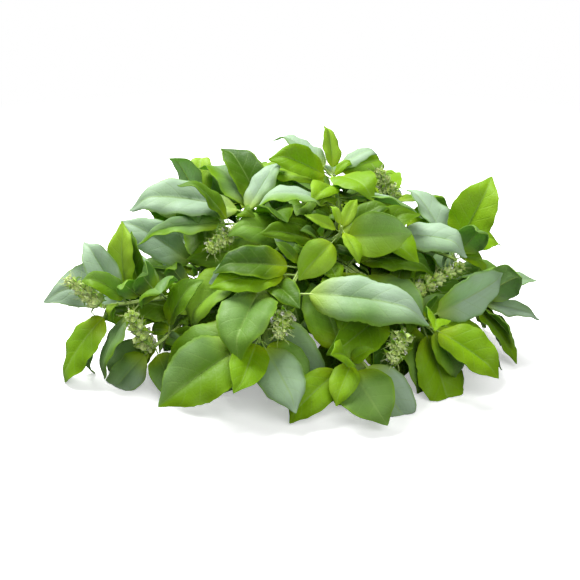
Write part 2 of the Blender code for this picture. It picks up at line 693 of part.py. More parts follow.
def main():
    clear_scene()
    home = bpy.data.collections.new("scent_leaf")
    bpy.context.scene.collection.children.link(home)
    leaf_finish = material("leaf_green", LEAF_GREEN)
    young_finish = material("young_green", YOUNG_GREEN)
    flower_finish = material("flower_green", FLOWER_GREEN)
    routes, leaves = plant()
    add_leafy_stem("main_stem", routes["main"], MAIN_RADIUS, leaves["main"], home, leaf_finish)
    add_leafy_stem("young_tip", routes["tip"], TIP_RADIUS, leaves["tip"], home, young_finish)
    for name, branch in BRANCHES.items():
        add_leafy_stem("branch_" + name, routes[name], BRANCH_RADIUS, leaves[name], home, leaf_finish)
        if branch.spike:
            add_spike("spike_" + name, spike_route(routes[name], branch.spike), home, flower_finish)


if __name__ == "__main__":
    main()
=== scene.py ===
"""Scent leaf: the looks of one cut, branching, flowering top of the herb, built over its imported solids.

The plant is grown by the same rule and the same draws as the solids, so each fine leaf lies where its solid
leaf does. Sizes are listed in millimetres, and turned to metres where they are read.
"""

import math
import random
from collections import namedtuple
from functools import cache

import bmesh
import bpy
from bpy.props import FloatProperty, FloatVectorProperty, PointerProperty
from mathutils import Matrix, Vector
from mathutils.bvhtree import BVHTree


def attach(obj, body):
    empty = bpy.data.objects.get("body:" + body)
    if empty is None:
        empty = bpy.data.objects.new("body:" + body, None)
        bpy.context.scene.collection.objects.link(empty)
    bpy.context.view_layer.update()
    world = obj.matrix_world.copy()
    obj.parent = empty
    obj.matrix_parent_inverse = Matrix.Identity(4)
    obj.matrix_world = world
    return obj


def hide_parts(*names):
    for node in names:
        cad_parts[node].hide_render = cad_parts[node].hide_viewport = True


bl_info = {
    "name": "Scent leaf",
    "version": (1, 0, 0),
    "blender": (4, 5, 0),
    "location": "View3D > Sidebar > Scent leaf",
    "description": "Builds the leaves, stems and flower spikes of a cut top of scent leaf",
    "category": "Object",
}

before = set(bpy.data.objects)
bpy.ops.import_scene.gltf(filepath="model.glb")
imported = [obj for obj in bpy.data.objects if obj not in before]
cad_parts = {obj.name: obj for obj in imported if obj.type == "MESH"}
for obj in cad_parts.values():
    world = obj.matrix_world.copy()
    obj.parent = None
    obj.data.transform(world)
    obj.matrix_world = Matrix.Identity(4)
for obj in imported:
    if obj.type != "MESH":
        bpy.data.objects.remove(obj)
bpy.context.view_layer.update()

MM = 0.001
UP = Vector((0, 0, 1))
ORIGIN = Vector((3.637, 10.852, 0)) * MM  # under the middle of the box round the whole plant

# Stems
MAIN_RADIUS = (2.3, 1.1)  # at the cut end and at the tip
BRANCH_RADIUS = (1.3, 0.8)
TIP_RADIUS = (0.9, 0.6)
RADII = {"main": MAIN_RADIUS, "tip": TIP_RADIUS}
STEM_ROOM = 0.3  # kept round every stem
GAP = 0.35  # between one node and the next that grows from it
LEAST_SLOPE = 0.35  # of a branch against its stem, where it leaves it

# Leaves
BLADE_THICKNESS = 0.7
STALK_WIDTH = 1.05
STALK_SHARE = 0.19  # stalk length beside blade length
STALK_TAPER = 0.6
BLADE_PARTS = (0.55, 0.45)  # lower and upper part of a blade
DROOP_PARTS = (0.15, 0.35, 0.50)  # of a leaf's droop: in its stalk, its lower and its upper blade
CHORD_SHARE = 0.5  # of the droop that lies between the foot's direction and the line from base to tip
OUTLINE = (0.58, 0.82)  # how pointed a blade is at its base and at its tip
FOLDS = (0.28, 0.62)  # radians that each half of a blade rises from its midrib
ARCHES = (0.15, 0.42)  # radians that it bends down again towards its margin
WAVES = (0.014, 0.034)  # height of the margin's waves beside the blade's length
WAVE_TURNS = (3.2, 1.4)  # half waves along a margin, and how far the other margin's are shifted
TWIST = 0.5  # radians that a blade may turn along its length
ROLL = 0.25  # radians that it may roll on its stalk
BIG_LEAF = 46.0  # from this length a blade has an arched half on each side of its midrib
SMALL_LEAF = 37.0  # below this length a blade has fewer rows
BIG_GRID, MIDDLE_GRID, SMALL_GRID = (6, 1, 4), (5, 1, 2), (4, 1, 2)  # rows of blade and stalk, columns
FIRST_ROW = 0.06  # where a blade's first row is, before the rows are drawn together at both ends
FLOOR_SOFTNESS = 2.5  # height over which a blade that meets the table bends to lie on it
CLEARANCE = 0.2  # kept round every blade, beside half its thickness
STALK_FOOT = 0.35  # how far from a stem's axis a stalk starts, beside the stem's radius
FOOT_ROOM = 1.8  # how far out of its stem a stalk is before it has to be clear of the next one
HEART = Vector((0, 38, 5)) * MM  # the leaves face away from this point
FACE_AT = 0.6  # the share of a blade's length out at which that is measured
OUTWARD = 0.85  # how far they face away from it, beside how far they face up
FACE_UP = 0.55
LYING = (4.0, 18.0)  # leaves that start this low lie more and more level

# Leaf pairs along a stem
PAIR_STEP = 26.0
LAST_PAIR = 0.985  # where along the stem
PAIR_SPREAD = 62.0  # degrees between a stem and its leaves
PAIR_STRAY = (0.25, 0.2, 0.15)  # of the turn in radians, and of the spread and the length beside themselves
TABLE_ROOM = 4  # how far over the table a leaf of a pair is aimed
PAIR_LENGTHS = (42.0, 28.0)  # blades near the fork and near the end
PAIR_WIDTHS = (0.46, 0.62)  # beside their length
PAIR_DROOPS = (25.0, 60.0)
RISES = (-45.0, 30.0)
PAIR_SEED = 10

# Flower spikes
WHORL_STEP = 5.4
CALYX_COUNT = 5
CALYX_LENGTH = 5.2
CALYX_TILT = 58.0  # degrees between a calyx and the axis of its spike
CALYX_FOOT = 0.55  # how far from the spike's axis a calyx starts, beside the axis's radius
LAST_CALYX = 0.55  # size of the last whorl beside the first
FIRST_WHORL = 0.35  # how far up, beside the step
SPIKE_RADIUS = (0.85, 0.55)
SPIKE_REACH = (6.0, 4.6)  # kept free round the axis of a spike
SPIKE_ROOM = 3.0  # kept free past its end
OPEN_WAY = (-90, 22)  # bearing and rise of the side on which a spike stands open to the light
OPEN_LENGTH = 70.0  # how far that side reaches
OPEN_RADII = (4.5, 4.5)
OPEN_SHARES = (0.35, 0.9)  # where along the spike
HIDDEN_SPIKES = ("back_left",)  # these stand among leaves

# Looks, for each letter of the lists: how pale a leaf is with bloom and painted sheen, how bright and
# yellow it is as a young leaf and with painted light through it, and how deep it lies, which is painted
# shade
LOOKS = {
    "w": (1.15, 0.0, 0.0),
    "p": (0.85, 0.1, 0.0),
    "g": (0.55, 0.15, 0.15),
    "m": (0.22, 0.35, 0.25),
    "b": (0.05, 0.9, 0.0),
    "d": (0.0, 0.3, 0.9),
    "y": (0.0, 1.45, 0.0),
    "t": (0.36, 1.05, 0.0),
    "n": (0.06, 0.5, 0.3),
}
PAIR_LOOKS = "PGGMMMMBBBD"  # drawn from for the leaves that the rule places

# Small shoots in the leaf axils
PLANT_TOP = 99.0  # no added leaf ends above this
SHOOTS = (  # step along the stem, blade lengths and swings tried, for the larger and the smaller leaves
    (12.0, (19.0, 30.0), 40),
    (6.0, (8.0, 17.0), 14),
)
DENSE = {  # how many times as many these branches have
    "top": 2.5, "left_low": 1.5, "left_mid": 1.6, "back_left": 1.6,
    "top_left": 1.5, "front": 1.5, "left_up": 1.5,
}
SHOOT_PLACES = (0.2, 0.8)  # where in its step a shoot stands
LAST_SHOOT = 0.97
SHOOT_RISES = (-20, 50)
SHOOT_WIDTHS = (0.42, 0.6)
SHOOT_DROOPS = (30, 90)
SHOOT_LOOKS = "YYBBBMMGD"

# Leaves in the gaps that a look from the front still finds
SIGHT_FROM = Vector((3.4, -501.6, 235.7))  # where that look comes from and what it is aimed at
SIGHT_TO = Vector((3.4, 0.0, 33.0))
GAP_CELL = 1.0  # side of the cells into which it is split
GAP_ROOM = (104.0, 94.0, 38.0)  # half width of the heap as seen, its height above and below its widest line
GAP_MIDDLE = (-2.0, -19.0)  # middle of that line, to the right of and above what the look is aimed at
GAP_TRIES = 260000
GAP_LENGTHS = (14.0, 34.0)
GAP_PLACES = (0.03, 0.97)  # where along a stem such a leaf grows
GAP_RISES = (-50, 75)
GAP_FORM = (0.5, 45)  # its width beside its length, and its droop
GAP_PARTS = (0.4, 0.5, 0.6, 0.7, 0.8, 0.9)  # shares along it at which it may close a gap
GAP_HITS = 2  # how many of them have to
GAP_LOOKS = "PGMMMBBDY"

Branch = namedtuple("Branch", "fork route spike leaves")
Leaf = namedtuple(
    "Leaf", "base heading normal stalk length width droop fold arch wave phase twist look share"
)

# The main stem, from its cut end at the back to the young tip in front.
MAIN_ROUTE = (
    (-18, 103, 2.3), (-11, 76, 9), (-4, 48, 24), (4, 24, 42), (12, 4, 54), (19, -10, 61), (24, -18, 65),
)

# Each branch: where it leaves the main stem as a share of its length, the points it then passes, its
# flower spike as (length, bearing, rise) if it has one, and its foremost leaves. A leaf is (share along
# the branch, bearing, rise, roll, blade length, width beside length, droop, look). The bearing is the way
# its blade points over the table, 0 to the right and 90 to the back. Angles are in degrees.
BRANCHES = {
    "left_low": Branch(0.16, (
        (-30, 54, 20), (-40, 24, 34), (-42, -6, 35), (-60, -19, 36), (-82, -20, 33),
    ), (20, 172, 38), (
        (0.66, 184, -6, 0, 65, 0.38, 44, "w"), (0.97, 202, -54, 0, 40, 0.6, 40, "n"),
        (0.88, 232, -46, 20, 34, 0.55, 30, "g"), (0.50, 178, 10, 0, 40, 0.5, 40, "p"),
        (0.30, 160, 40, 0, 44, 0.6, 40, "m"),
    )),
    "right_low": Branch(0.16, ((26, 56, 16), (56, 36, 22), (82, 14, 25), (94, 2, 26)), None, (
        (0.97, 4, 26, 0, 28, 0.5, 30, "p"), (0.98, 346, -10, 0, 28, 0.45, 20, "p"),
        (0.62, 290, -5, 0, 42, 0.6, 40, "d"), (0.66, 60, 10, 0, 44, 0.55, 40, "g"),
        (0.80, 330, 5, 0, 34, 0.55, 40, "p"), (0.95, 310, -36, 0, 34, 0.5, 30, "n"),
    )),
    "left_mid": Branch(0.32, ((-24, 34, 30), (-38, 4, 30), (-48, -22, 24), (-60, -32, 17)), (24, 230, 64), (
        (0.72, 185, -6, 0, 40, 0.5, 40, "d"), (0.60, 270, -20, 0, 40, 0.58, 40, "m"),
        (0.95, 204, -16, 0, 33, 0.6, 30, "g"),
    )),
    "right_mid": Branch(0.32, ((22, 28, 24), (42, 4, 27), (58, -22, 31), (66, -38, 30)), None, (
        (0.86, 357, -30, 0, 46, 0.62, 30, "n"), (0.94, 44, 34, 30, 42, 0.5, 20, "p"),
        (0.98, 330, -26, 0, 34, 0.62, 30, "b"), (0.70, 20, 0, 0, 37, 0.55, 40, "m"),
        (0.82, 262, -30, 0, 36, 0.55, 40, "d"), (0.80, 288, -38, 0, 38, 0.6, 30, "n"),
        (0.93, 306, -38, 0, 42, 0.55, 30, "b"),
    )),
    "back_left": Branch(0.46, ((-18, 50, 46), (-34, 44, 58), (-46, 34, 62)), (18, 150, 30), (
        (0.70, 180, -10, 0, 42, 0.55, 50, "m"), (0.96, 190, -30, 0, 36, 0.55, 40, "m"),
        (0.90, 100, -16, 0, 32, 0.55, 40, "b"), (0.50, 205, -35, 0, 44, 0.6, 50, "g"),
        (0.80, 235, -30, 0, 38, 0.6, 40, "d"),
    )),
    "back_right": Branch(0.46, ((16, 44, 46), (36, 48, 58), (54, 40, 64)), (20, 215, 62), (
        (0.60, 40, 5, 0, 42, 0.55, 40, "p"), (0.96, 350, -18, 0, 40, 0.55, 50, "w"),
        (0.93, 90, 5, 0, 38, 0.55, 40, "b"), (0.97, 20, -5, 0, 30, 0.5, 30, "m"),
        (0.45, 110, 25, 0, 42, 0.6, 40, "m"), (0.70, 60, -20, 0, 40, 0.6, 40, "d"),
    )),
    "front_left": Branch(0.57, ((-6, 10, 34), (-10, -18, 38), (-11, -42, 37), (-10, -52, 29)), None, (
        (0.86, 199, -17, 0, 44, 0.62, 40, "m"), (0.97, 214, -22, 0, 46, 0.62, 30, "m"),
        (0.98, 300, -30, 0, 34, 0.6, 30, "g"), (0.70, 240, -30, 0, 38, 0.55, 40, "m"),
        (0.80, 330, -24, 0, 38, 0.58, 40, "g"), (0.97, 256, -44, 0, 30, 0.55, 30, "b"),
    )),
    "right_up": Branch(0.57, ((26, 14, 54), (52, 14, 54), (74, 12, 48), (84, 9, 45)), None, (
        (0.97, 26, 60, -50, 37, 0.62, 20, "b"), (0.98, 170, 40, -30, 38, 0.5, 30, "w"),
        (0.55, 335, 0, 0, 40, 0.55, 40, "p"), (0.62, 100, 20, 0, 38, 0.55, 40, "p"),
        (0.40, 310, -8, 0, 38, 0.6, 40, "b"), (0.85, 20, 12, 0, 36, 0.5, 40, "b"),
    )),
    "left_up": Branch(0.69, ((0, -4, 52), (-5, -14, 53), (-7, -22, 52), (-7, -29, 49)), None, (
        (0.62, 207, -14, 0, 46, 0.55, 50, "b"), (0.98, 268, -38, 0, 42, 0.62, 30, "m"),
        (0.84, 234, -20, 0, 24, 0.75, 30, "w"), (0.45, 176, -6, 0, 40, 0.5, 40, "m"),
        (0.30, 230, -30, 0, 38, 0.55, 40, "b"),
    )),
    "right_front": Branch(0.69, ((28, -6, 50), (42, -12, 40), (54, -13, 34)), (34, 20, 22), (
        (0.60, 322, -24, 0, 40, 0.58, 40, "m"), (0.75, 60, 14, 0, 36, 0.55, 40, "m"),
        (0.93, 290, -34, 0, 36, 0.5, 40, "d"),
    )),
    "top_left": Branch(0.79, ((4, 14, 60), (-6, 17, 63), (-16, 10, 66), (-24, 0, 64)), (16, 235, -20), (
        (0.62, 194, 8, 0, 54, 0.44, 40, "p"), (0.46, 138, 24, 0, 42, 0.72, 30, "g"),
        (0.82, 50, 40, 0, 32, 0.5, 20, "p"), (0.90, 188, -12, 0, 42, 0.58, 40, "g"),
    )),
    "front_right": Branch(0.79, ((34, -14, 46), (50, -30, 36), (54, -42, 31)), (18, 248, -22), (
        (0.78, 272, -40, 0, 36, 0.6, 30, "m"),
    )),
    "top": Branch(0.88, ((26, 4, 66), (26, 18, 75), (24, 34, 80)), None, (
        (0.45, 196, 8, 0, 36, 0.5, 60, "w"), (0.60, 342, 0, 0, 36, 0.7, 30, "p"),
        (0.97, 98, 44, 0, 26, 0.42, 30, "y"), (0.95, 344, -14, 20, 33, 0.6, 40, "b"),
        (0.90, 196, 26, -20, 30, 0.6, 30, "b"), (0.80, 250, 34, 0, 24, 0.6, 30, "b"),
        (0.98, 30, 4, 20, 30, 0.55, 40, "b"), (0.72, 158, 10, 0, 34, 0.6, 30, "y"),
        (0.98, 150, 26, 0, 32, 0.6, 40, "p"), (0.35, 120, 10, 0, 40, 0.6, 30, "m"),
        (0.55, 60, -10, 0, 38, 0.6, 30, "d"),
    )),
    "front": Branch(0.88, ((22, -22, 48), (32, -40, 34), (33, -52, 24), (27, -58, 21)), None, (
        (0.97, 154, 36, 0, 37, 0.64, 20, "m"), (0.98, 300, -26, 0, 29, 0.85, 15, "m"),
        (0.88, 342, -34, 0, 35, 0.6, 30, "g"), (0.80, 232, -44, 0, 30, 0.6, 30, "g"),
    )),
    "front_mid": Branch(0.95, ((10, -28, 57), (4, -38, 50), (1, -45, 43)), (14, 260, -30), (
        (0.85, 345, -20, 0, 56, 0.42, 50, "p"), (0.60, 190, -30, 0, 34, 0.55, 40, "b"),
    )),
}

# The main stem's own foremost leaves, given in the same way.
MAIN_LEAVES = (
    (0.30, 100, 30, 0, 44, 0.55, 40, "m"), (0.44, 320, 10, 0, 40, 0.55, 40, "d"),
    (0.55, 90, 30, 0, 42, 0.55, 40, "m"), (0.84, 192, 0, 0, 36, 0.55, 40, "m"),
    (0.84, 350, -6, 0, 34, 0.6, 40, "d"), (0.14, 178, -16, 0, 48, 0.52, 24, "g"),
    (0.14, 12, -16, 0, 48, 0.52, 24, "g"), (0.66, 60, 20, 0, 40, 0.55, 40, "m"),
)

# The young tip.
TIP_ROUTE = ((24.2, -18.5, 65.3), (26, -21, 69), (26.5, -23, 73))
TIP_LEAVES = (
    (0.20, 347, 8, 35, 29, 0.72, 30, "t"), (0.20, 222, -30, -20, 24, 0.66, 30, "t"),
    (0.60, 60, 40, 0, 16, 0.4, 20, "y"), (0.60, 200, 30, 0, 16, 0.4, 20, "y"),
    (0.85, 296, -34, 0, 17, 0.5, 30, "y"), (0.90, 120, 50, 0, 10, 0.4, 20, "y"),
)

# How a leaf that would cross another is swung on its stalk, in degrees of bearing and rise, nearest first.
SWINGS = sorted(
    ((turn, lift) for turn in range(-48, 49, 8) for lift in range(-32, 41, 8)),
    key=lambda swing: (abs(swing[0]) + abs(swing[1]), swing),
)


def metres(points):
    return [Vector(point) * MM for point in points]


def catmull(points, share):
    """The point at a share, 0 to 1 by number of spans, of a smooth curve through the points."""
    spans = len(points) - 1
    place = min(max(share, 0.0), 1.0) * spans
    start = min(int(place), spans - 1)
    t = place - start
    a = points[start - 1] if start else points[0] * 2 - points[1]
    b, c = points[start], points[start + 1]
    d = points[start + 2] if start + 2 <= spans else c * 2 - b
    return 0.5 * (2 * b + (c - a) * t + (2 * a - 5 * b + 4 * c - d) * t**2 + (3 * b - a - 3 * c + d) * t**3)


class Route:
    """A smooth line through points, read by its share of length."""

    SAMPLES = 96

    def __init__(self, points):
        self.points = [catmull(points, i / self.SAMPLES) for i in range(self.SAMPLES + 1)]
        self.runs = [0.0]
        for a, b in zip(self.points, self.points[1:]):
            self.runs.append(self.runs[-1] + (b - a).length)
        self.length = self.runs[-1]

    def at(self, share):
        run = min(max(share, 0.0), 1.0) * self.length
        i = next((k for k, end in enumerate(self.runs[1:]) if end >= run), self.SAMPLES - 1)
        t = (run - self.runs[i]) / max(self.runs[i + 1] - self.runs[i], 1e-9)
        return self.points[i].lerp(self.points[i + 1], t)

    def direction(self, share):
        step = 0.01
        return (self.at(share + step) - self.at(share - step)).normalized()


def blend(pair, share):
    return pair[0] + (pair[1] - pair[0]) * share


def aim(bearing, rise):
    """The unit vector of a bearing over the table and a rise above it, in degrees."""
    b, r = math.radians(bearing), math.radians(rise)
    return Vector((math.cos(b) * math.cos(r), math.sin(b) * math.cos(r), math.sin(r)))


def out_of_stem(point, along, radius, heading, half_width):
    """Where a branch with a flat end starts so that it stays GAP clear of the stem that it grows from."""
    side = heading - along * heading.dot(along)
    slope = max(side.length, LEAST_SLOPE)
    across = abs(heading.dot(along))
    return point + heading * ((radius + GAP * MM + half_width * across) / slope)


def off_axis(point, along, way, distance):
    """The foot, beside a stem's axis and under its surface, of something that leaves the stem this way."""
    side = (way - along * way.dot(along)).normalized()
    return point + side * distance


def make_leaf(rng, base, spec, swing=(0, 0)):
    """A Leaf from its entry in a list, swung on its stalk."""
    share, bearing, rise, roll, length, width, droop, look = spec
    chord = aim(bearing + swing[0], rise + swing[1])
    outward = (base + chord * length * FACE_AT * MM - HEART).normalized()
    raised = min(max((base.z / MM - LYING[0]) / (LYING[1] - LYING[0]), 0.0), 1.0)
    normal = UP * FACE_UP + outward * OUTWARD * raised
    normal = (normal - chord * normal.dot(chord)).normalized()
    normal = Matrix.Rotation(math.radians(roll) + rng.uniform(-ROLL, ROLL), 3, chord) @ normal
    lead = math.radians(droop) * CHORD_SHARE
    heading = chord * math.cos(lead) + normal * math.sin(lead)
    normal = normal * math.cos(lead) - chord * math.sin(lead)
    return Leaf(
        base=base,
        heading=heading,
        normal=normal,
        stalk=length * STALK_SHARE * MM,
        length=length * MM,
        width=length * width * MM,
        droop=math.radians(droop),
        fold=rng.uniform(*FOLDS),
        arch=rng.uniform(*ARCHES),
        wave=length * rng.uniform(*WAVES) * MM,
        phase=rng.uniform(0, 2 * math.pi),
        twist=rng.uniform(-TWIST, TWIST),
        look=look,
        share=share,
    )


def spine(leaf, run):
    """Point, direction and normal of a leaf's midrib at a distance from the foot of its stalk."""
    point, heading, normal = leaf.base, leaf.heading, leaf.normal
    lengths = (leaf.stalk, *(leaf.length * part for part in BLADE_PARTS))
    for length, turn in zip(lengths, (leaf.droop * part for part in DROOP_PARTS)):
        step = min(run, length)
        if step <= 0:
            break
        bend = turn / length
        angle = bend * step
        point = point + heading * (math.sin(angle) / bend) - normal * ((1 - math.cos(angle)) / bend)
        heading, normal = (
            heading * math.cos(angle) - normal * math.sin(angle),
            normal * math.cos(angle) + heading * math.sin(angle),
        )
        run -= step
    return point, heading, normal


def outline(u):
    """Half width of a blade beside its greatest, at a share of its length: rounded base, drawn-out tip."""
    low, high = OUTLINE
    widest = low / (low + high)
    return (u / widest) ** low * ((1 - u) / (1 - widest)) ** high if 0 < u < 1 else 0.0


def above_table(point, half):
    """A point of a blade's middle, moved up so that the blade bends to lie on the table."""
    soft = FLOOR_SOFTNESS * MM
    if point.z >= half + soft:
        return point
    if point.z <= half - soft:
        return Vector((point.x, point.y, half))
    return Vector((point.x, point.y, half + (point.z - half + soft) ** 2 / (4 * soft)))


def wave(leaf, u, v, turns, phases=1.0):
    """A wave along a blade, shifted on one half of it. The turns are its half waves and the shift."""
    return math.sin(turns[0] * math.pi * u + phases * leaf.phase + (turns[1] if v > 0 else 0.0))


def blade_point(leaf, run, v):
    """The point of the leaf's middle surface at a distance along it and a share v, -1 to 1, across it."""
    u = min(max((run - leaf.stalk) / leaf.length, 0.0), 1.0)
    point, heading, normal = spine(leaf, run)
    normal = Matrix.Rotation(leaf.twist * u, 3, heading) @ normal
    side = normal.cross(heading)
    share = outline(u)
    width = max(leaf.width / 2 * share, STALK_WIDTH * MM / 2 * (1 - STALK_TAPER * u))
    slope = leaf.fold - leaf.arch * abs(v)
    lift = width * share * (leaf.fold * abs(v) - leaf.arch * v * v)
    lift += leaf.wave * share * v * v * wave(leaf, u, v, WAVE_TURNS)
    across = width * v * math.cos(slope * share)
    return above_table(point + side * across + normal * lift, BLADE_THICKNESS * MM / 2)


def leaf_runs(leaf, rows, stalk_rows, start):
    """Distances along the leaf at which it has rows of points, closer together at the blade's two ends."""
    runs = [blend((start, leaf.stalk), i / stalk_rows) for i in range(stalk_rows)]
    for i in range(rows + 1):
        u = 0.5 - 0.5 * math.cos(math.pi * (FIRST_ROW + (1 - FIRST_ROW) * i / rows))
        runs.append(leaf.stalk + leaf.length * (u if i else 0.0))
    return runs


def leaf_mesh(leaf, rows, stalk_rows, columns, start=0.0):
    """The leaf's middle surface as a bmesh, split into triangles so that both faces get the same ones."""
    runs = leaf_runs(leaf, rows, stalk_rows, start)
    sheet = bmesh.new()
    bmesh.ops.create_grid(sheet, x_segments=len(runs) - 1, y_segments=columns, size=1)
    for vert in sheet.verts:
        row = round((vert.co.x + 1) / 2 * (len(runs) - 1))
        vert.co = blade_point(leaf, runs[row], vert.co.y)
    bmesh.ops.triangulate(sheet, faces=sheet.faces, quad_method="SHORT_EDGE")
    sheet.normal_update()
    return sheet


def guard(sheet, half):
    """A search tree of a sheet thickened by half on each side."""
    corners, faces = [], []
    for face in sheet.faces:
        for sign in (1, -1):
            start = len(corners)
            corners.extend(vert.co + vert.normal * half * sign for vert in face.verts)
            faces.append([start, start + 1, start + 2])
    for edge in sheet.edges:
        if len(edge.link_faces) == 1:
            start = len(corners)
            for vert, sign in zip((*edge.verts, *reversed(edge.verts)), (1, 1, -1, -1)):
                corners.append(vert.co + vert.normal * half * sign)
            faces.append([start, start + 1, start + 2])
            faces.append([start, start + 2, start + 3])
    return BVHTree.FromPolygons(corners, faces)


def tube_guard(route, radii, start=0.0, end=1.0):
    """A search tree of a six-sided tube along a route."""
    corners, faces, sides, rings = [], [], 6, 10
    for i in range(rings + 1):
        share = start + (end - start) * i / rings
        along = route.direction(share)
        across = along.orthogonal().normalized()
        for k in range(sides):
            turn = Matrix.Rotation(2 * math.pi * k / sides, 3, along)
            corners.append(route.at(share) + turn @ across * blend(radii, share) * MM)
    for i in range(rings):
        for k in range(sides):
            a, b = i * sides + k, i * sides + (k + 1) % sides
            faces.append([a, b, b + sides, a + sides])
    return BVHTree.FromPolygons(corners, faces)


def leaf_size(leaf):
    """Rows of the blade, rows of the stalk and columns of a leaf's sheet."""
    if leaf.length >= BIG_LEAF * MM:
        return BIG_GRID
    return MIDDLE_GRID if leaf.length >= SMALL_LEAF * MM else SMALL_GRID


def pair_specs(rng, route):
    """Opposite pairs of leaves along a stem, each pair a quarter turn from the one before it."""
    count = max(2, round(route.length / (PAIR_STEP * MM)))
    first = rng.uniform(0, math.pi)
    stray, spreads, lengths = PAIR_STRAY
    for i in range(count):
        share = min((i + 1) / count, LAST_PAIR)
        along = route.direction(share)
        across = along.orthogonal().normalized()
        for side in (0, 1):
            turn = Matrix.Rotation(first + math.pi * (side + i / 2) + rng.uniform(-stray, stray), 3, along)
            spread = math.radians(PAIR_SPREAD * rng.uniform(1 - spreads, 1 + spreads))
            heading = along * math.cos(spread) + turn @ across * math.sin(spread)
            bearing = math.degrees(math.atan2(heading.y, heading.x))
            length = blend(PAIR_LENGTHS, share) * rng.uniform(1 - lengths, 1 + lengths)
            reach = max(-1.0, -(route.at(share).z / MM - TABLE_ROOM) / length)
            rise = max(math.degrees(math.asin(heading.z)), RISES[0], math.degrees(math.asin(reach)))
            rise = min(rise, RISES[1])
            yield share, bearing, rise, 0, length, rng.uniform(*PAIR_WIDTHS), rng.uniform(*PAIR_DROOPS)


def leaf_guard(leaf, start):
    """A search tree of a leaf from a distance along it to its tip."""
    sheet = leaf_mesh(leaf, *leaf_size(leaf), start=start)
    tree = guard(sheet, (BLADE_THICKNESS / 2 + CLEARANCE) * MM)
    sheet.free()
    return tree


def meets(name, blade, whole, guards):
    """Whether a leaf crosses anything placed before it, but for the foot beside its own stem's growth."""
    for owner, other_blade, other_whole in guards:
        if blade.overlap(other_blade) if owner == name else whole.overlap(other_whole):
            return True
    return False


def place_leaf(name, route, radii, spec, guards, swings=SWINGS):
    """The leaf of an entry, swung the least that keeps it clear of everything placed before it, or none."""
    radius = blend(radii, spec[0]) * MM
    for swing in swings:
        way = aim(spec[1] + swing[0], spec[2] + swing[1])
        base = off_axis(route.at(spec[0]), route.direction(spec[0]), way, radius * STALK_FOOT)
        leaf = make_leaf(random.Random(f"{name} {spec[0]:.3f} {spec[1]:.0f}"), base, spec, swing)
        blade, whole = leaf_guard(leaf, radius + FOOT_ROOM * MM), leaf_guard(leaf, radius)
        if not meets(name, blade, whole, guards):
            guards.append((name, blade, whole))
            return leaf
    return None


def spike_route(route, spike):
    """The axis of the flower spike at the end of a branch."""
    length, bearing, rise = spike
    end, way = route.direction(1), aim(bearing, rise)
    tilt = (way - end * way.dot(end)).length
    start = route.at(1) + end * (GAP + SPIKE_RADIUS[0] * tilt) * MM
    return Route([start, start + way * length * MM])


def open_side(point):
    """A search tree of the room that leaves keep free between a spike and the light in front of it."""
    return tube_guard(Route([point, point + aim(*OPEN_WAY) * OPEN_LENGTH * MM]), OPEN_RADII)


def around(name, tree):
    """The entry of a stem's or a spike's search tree among the guards."""
    return name, tree, tree


@cache
def plant():
    """Every route and leaf of the plant, grown once, in the order in which they are placed."""
    main = Route(metres(MAIN_ROUTE))
    routes = {"main": main, "tip": Route(metres(TIP_ROUTE))}
    guards = [around("main", tube_guard(main, [r + STEM_ROOM for r in MAIN_RADIUS]))]
    for name, branch in BRANCHES.items():
        fork = main.at(branch.fork)
        along = main.direction(branch.fork)
        first = (metres(branch.route)[0] - fork).normalized()
        start = out_of_stem(fork, along, blend(MAIN_RADIUS, branch.fork) * MM, first, BRANCH_RADIUS[0] * MM)
        routes[name] = Route([start, *metres(branch.route)])
        guards.append(around(name, tube_guard(routes[name], [r + STEM_ROOM for r in BRANCH_RADIUS], 0.05)))
        if branch.spike:
            length, bearing, rise = branch.spike
            axis = spike_route(routes[name], (length + SPIKE_ROOM, bearing, rise))
            guards.append(around(name, tube_guard(axis, SPIKE_REACH)))
            if name not in HIDDEN_SPIKES:
                guards += [around(name, open_side(axis.at(share))) for share in OPEN_SHARES]
    leaves = {name: [] for name in routes}
    for name, spec in ordered_specs(routes):
        leaf = place_leaf(name, routes[name], RADII.get(name, BRANCH_RADIUS), spec, guards)
        if leaf:
            leaves[name].append(leaf)
    add_shoots(routes, leaves, guards)
    return routes, leaves


def add_shoots(routes, leaves, guards):
    """Small leaves of side shoots along every stem, where there is room for them."""
    for step, lengths, tries in SHOOTS:
        for name, route in routes.items():
            if name == "tip":
                continue
            draw = random.Random(f"{name} {step}")
            count = round(route.length / (step * MM) * DENSE.get(name, 1.0))
            for i in range(count):
                share = min((i + draw.uniform(*SHOOT_PLACES)) / count, LAST_SHOOT)
                spec = (
                    share, draw.uniform(0, 360), draw.uniform(*SHOOT_RISES), 0, draw.uniform(*lengths),
                    draw.uniform(*SHOOT_WIDTHS), draw.uniform(*SHOOT_DROOPS), draw.choice(SHOOT_LOOKS),
                )
                add_shoot(name, route, spec, guards, leaves, SWINGS[:tries])
    fill_gaps(routes, leaves, guards)


def sight_axes():
    """The unit vectors to the right and up of the look from the front."""
    side = (SIGHT_TO - SIGHT_FROM).cross(UP).normalized()
    return side, side.cross(SIGHT_TO - SIGHT_FROM).normalized()


def gap_rays(guards):
    """Directions of the look, by cell of the heap's outline, that meet nothing."""
    side, up = sight_axes()
    rays = {}
    half, high, low = (round(reach / GAP_CELL) for reach in GAP_ROOM)
    for i in range(-half, half + 1):
        for j in range(-low, high + 1):
            if (i / half) ** 2 + (j / (high if j > 0 else low)) ** 2 > 1:
                continue
            aside = side * (GAP_MIDDLE[0] + i * GAP_CELL) + up * (GAP_MIDDLE[1] + j * GAP_CELL)
            ray = (SIGHT_TO + aside - SIGHT_FROM).normalized()
            if not any(tree.ray_cast(SIGHT_FROM * MM, ray)[0] for _, _, tree in guards):
                rays[i, j] = ray
    return rays


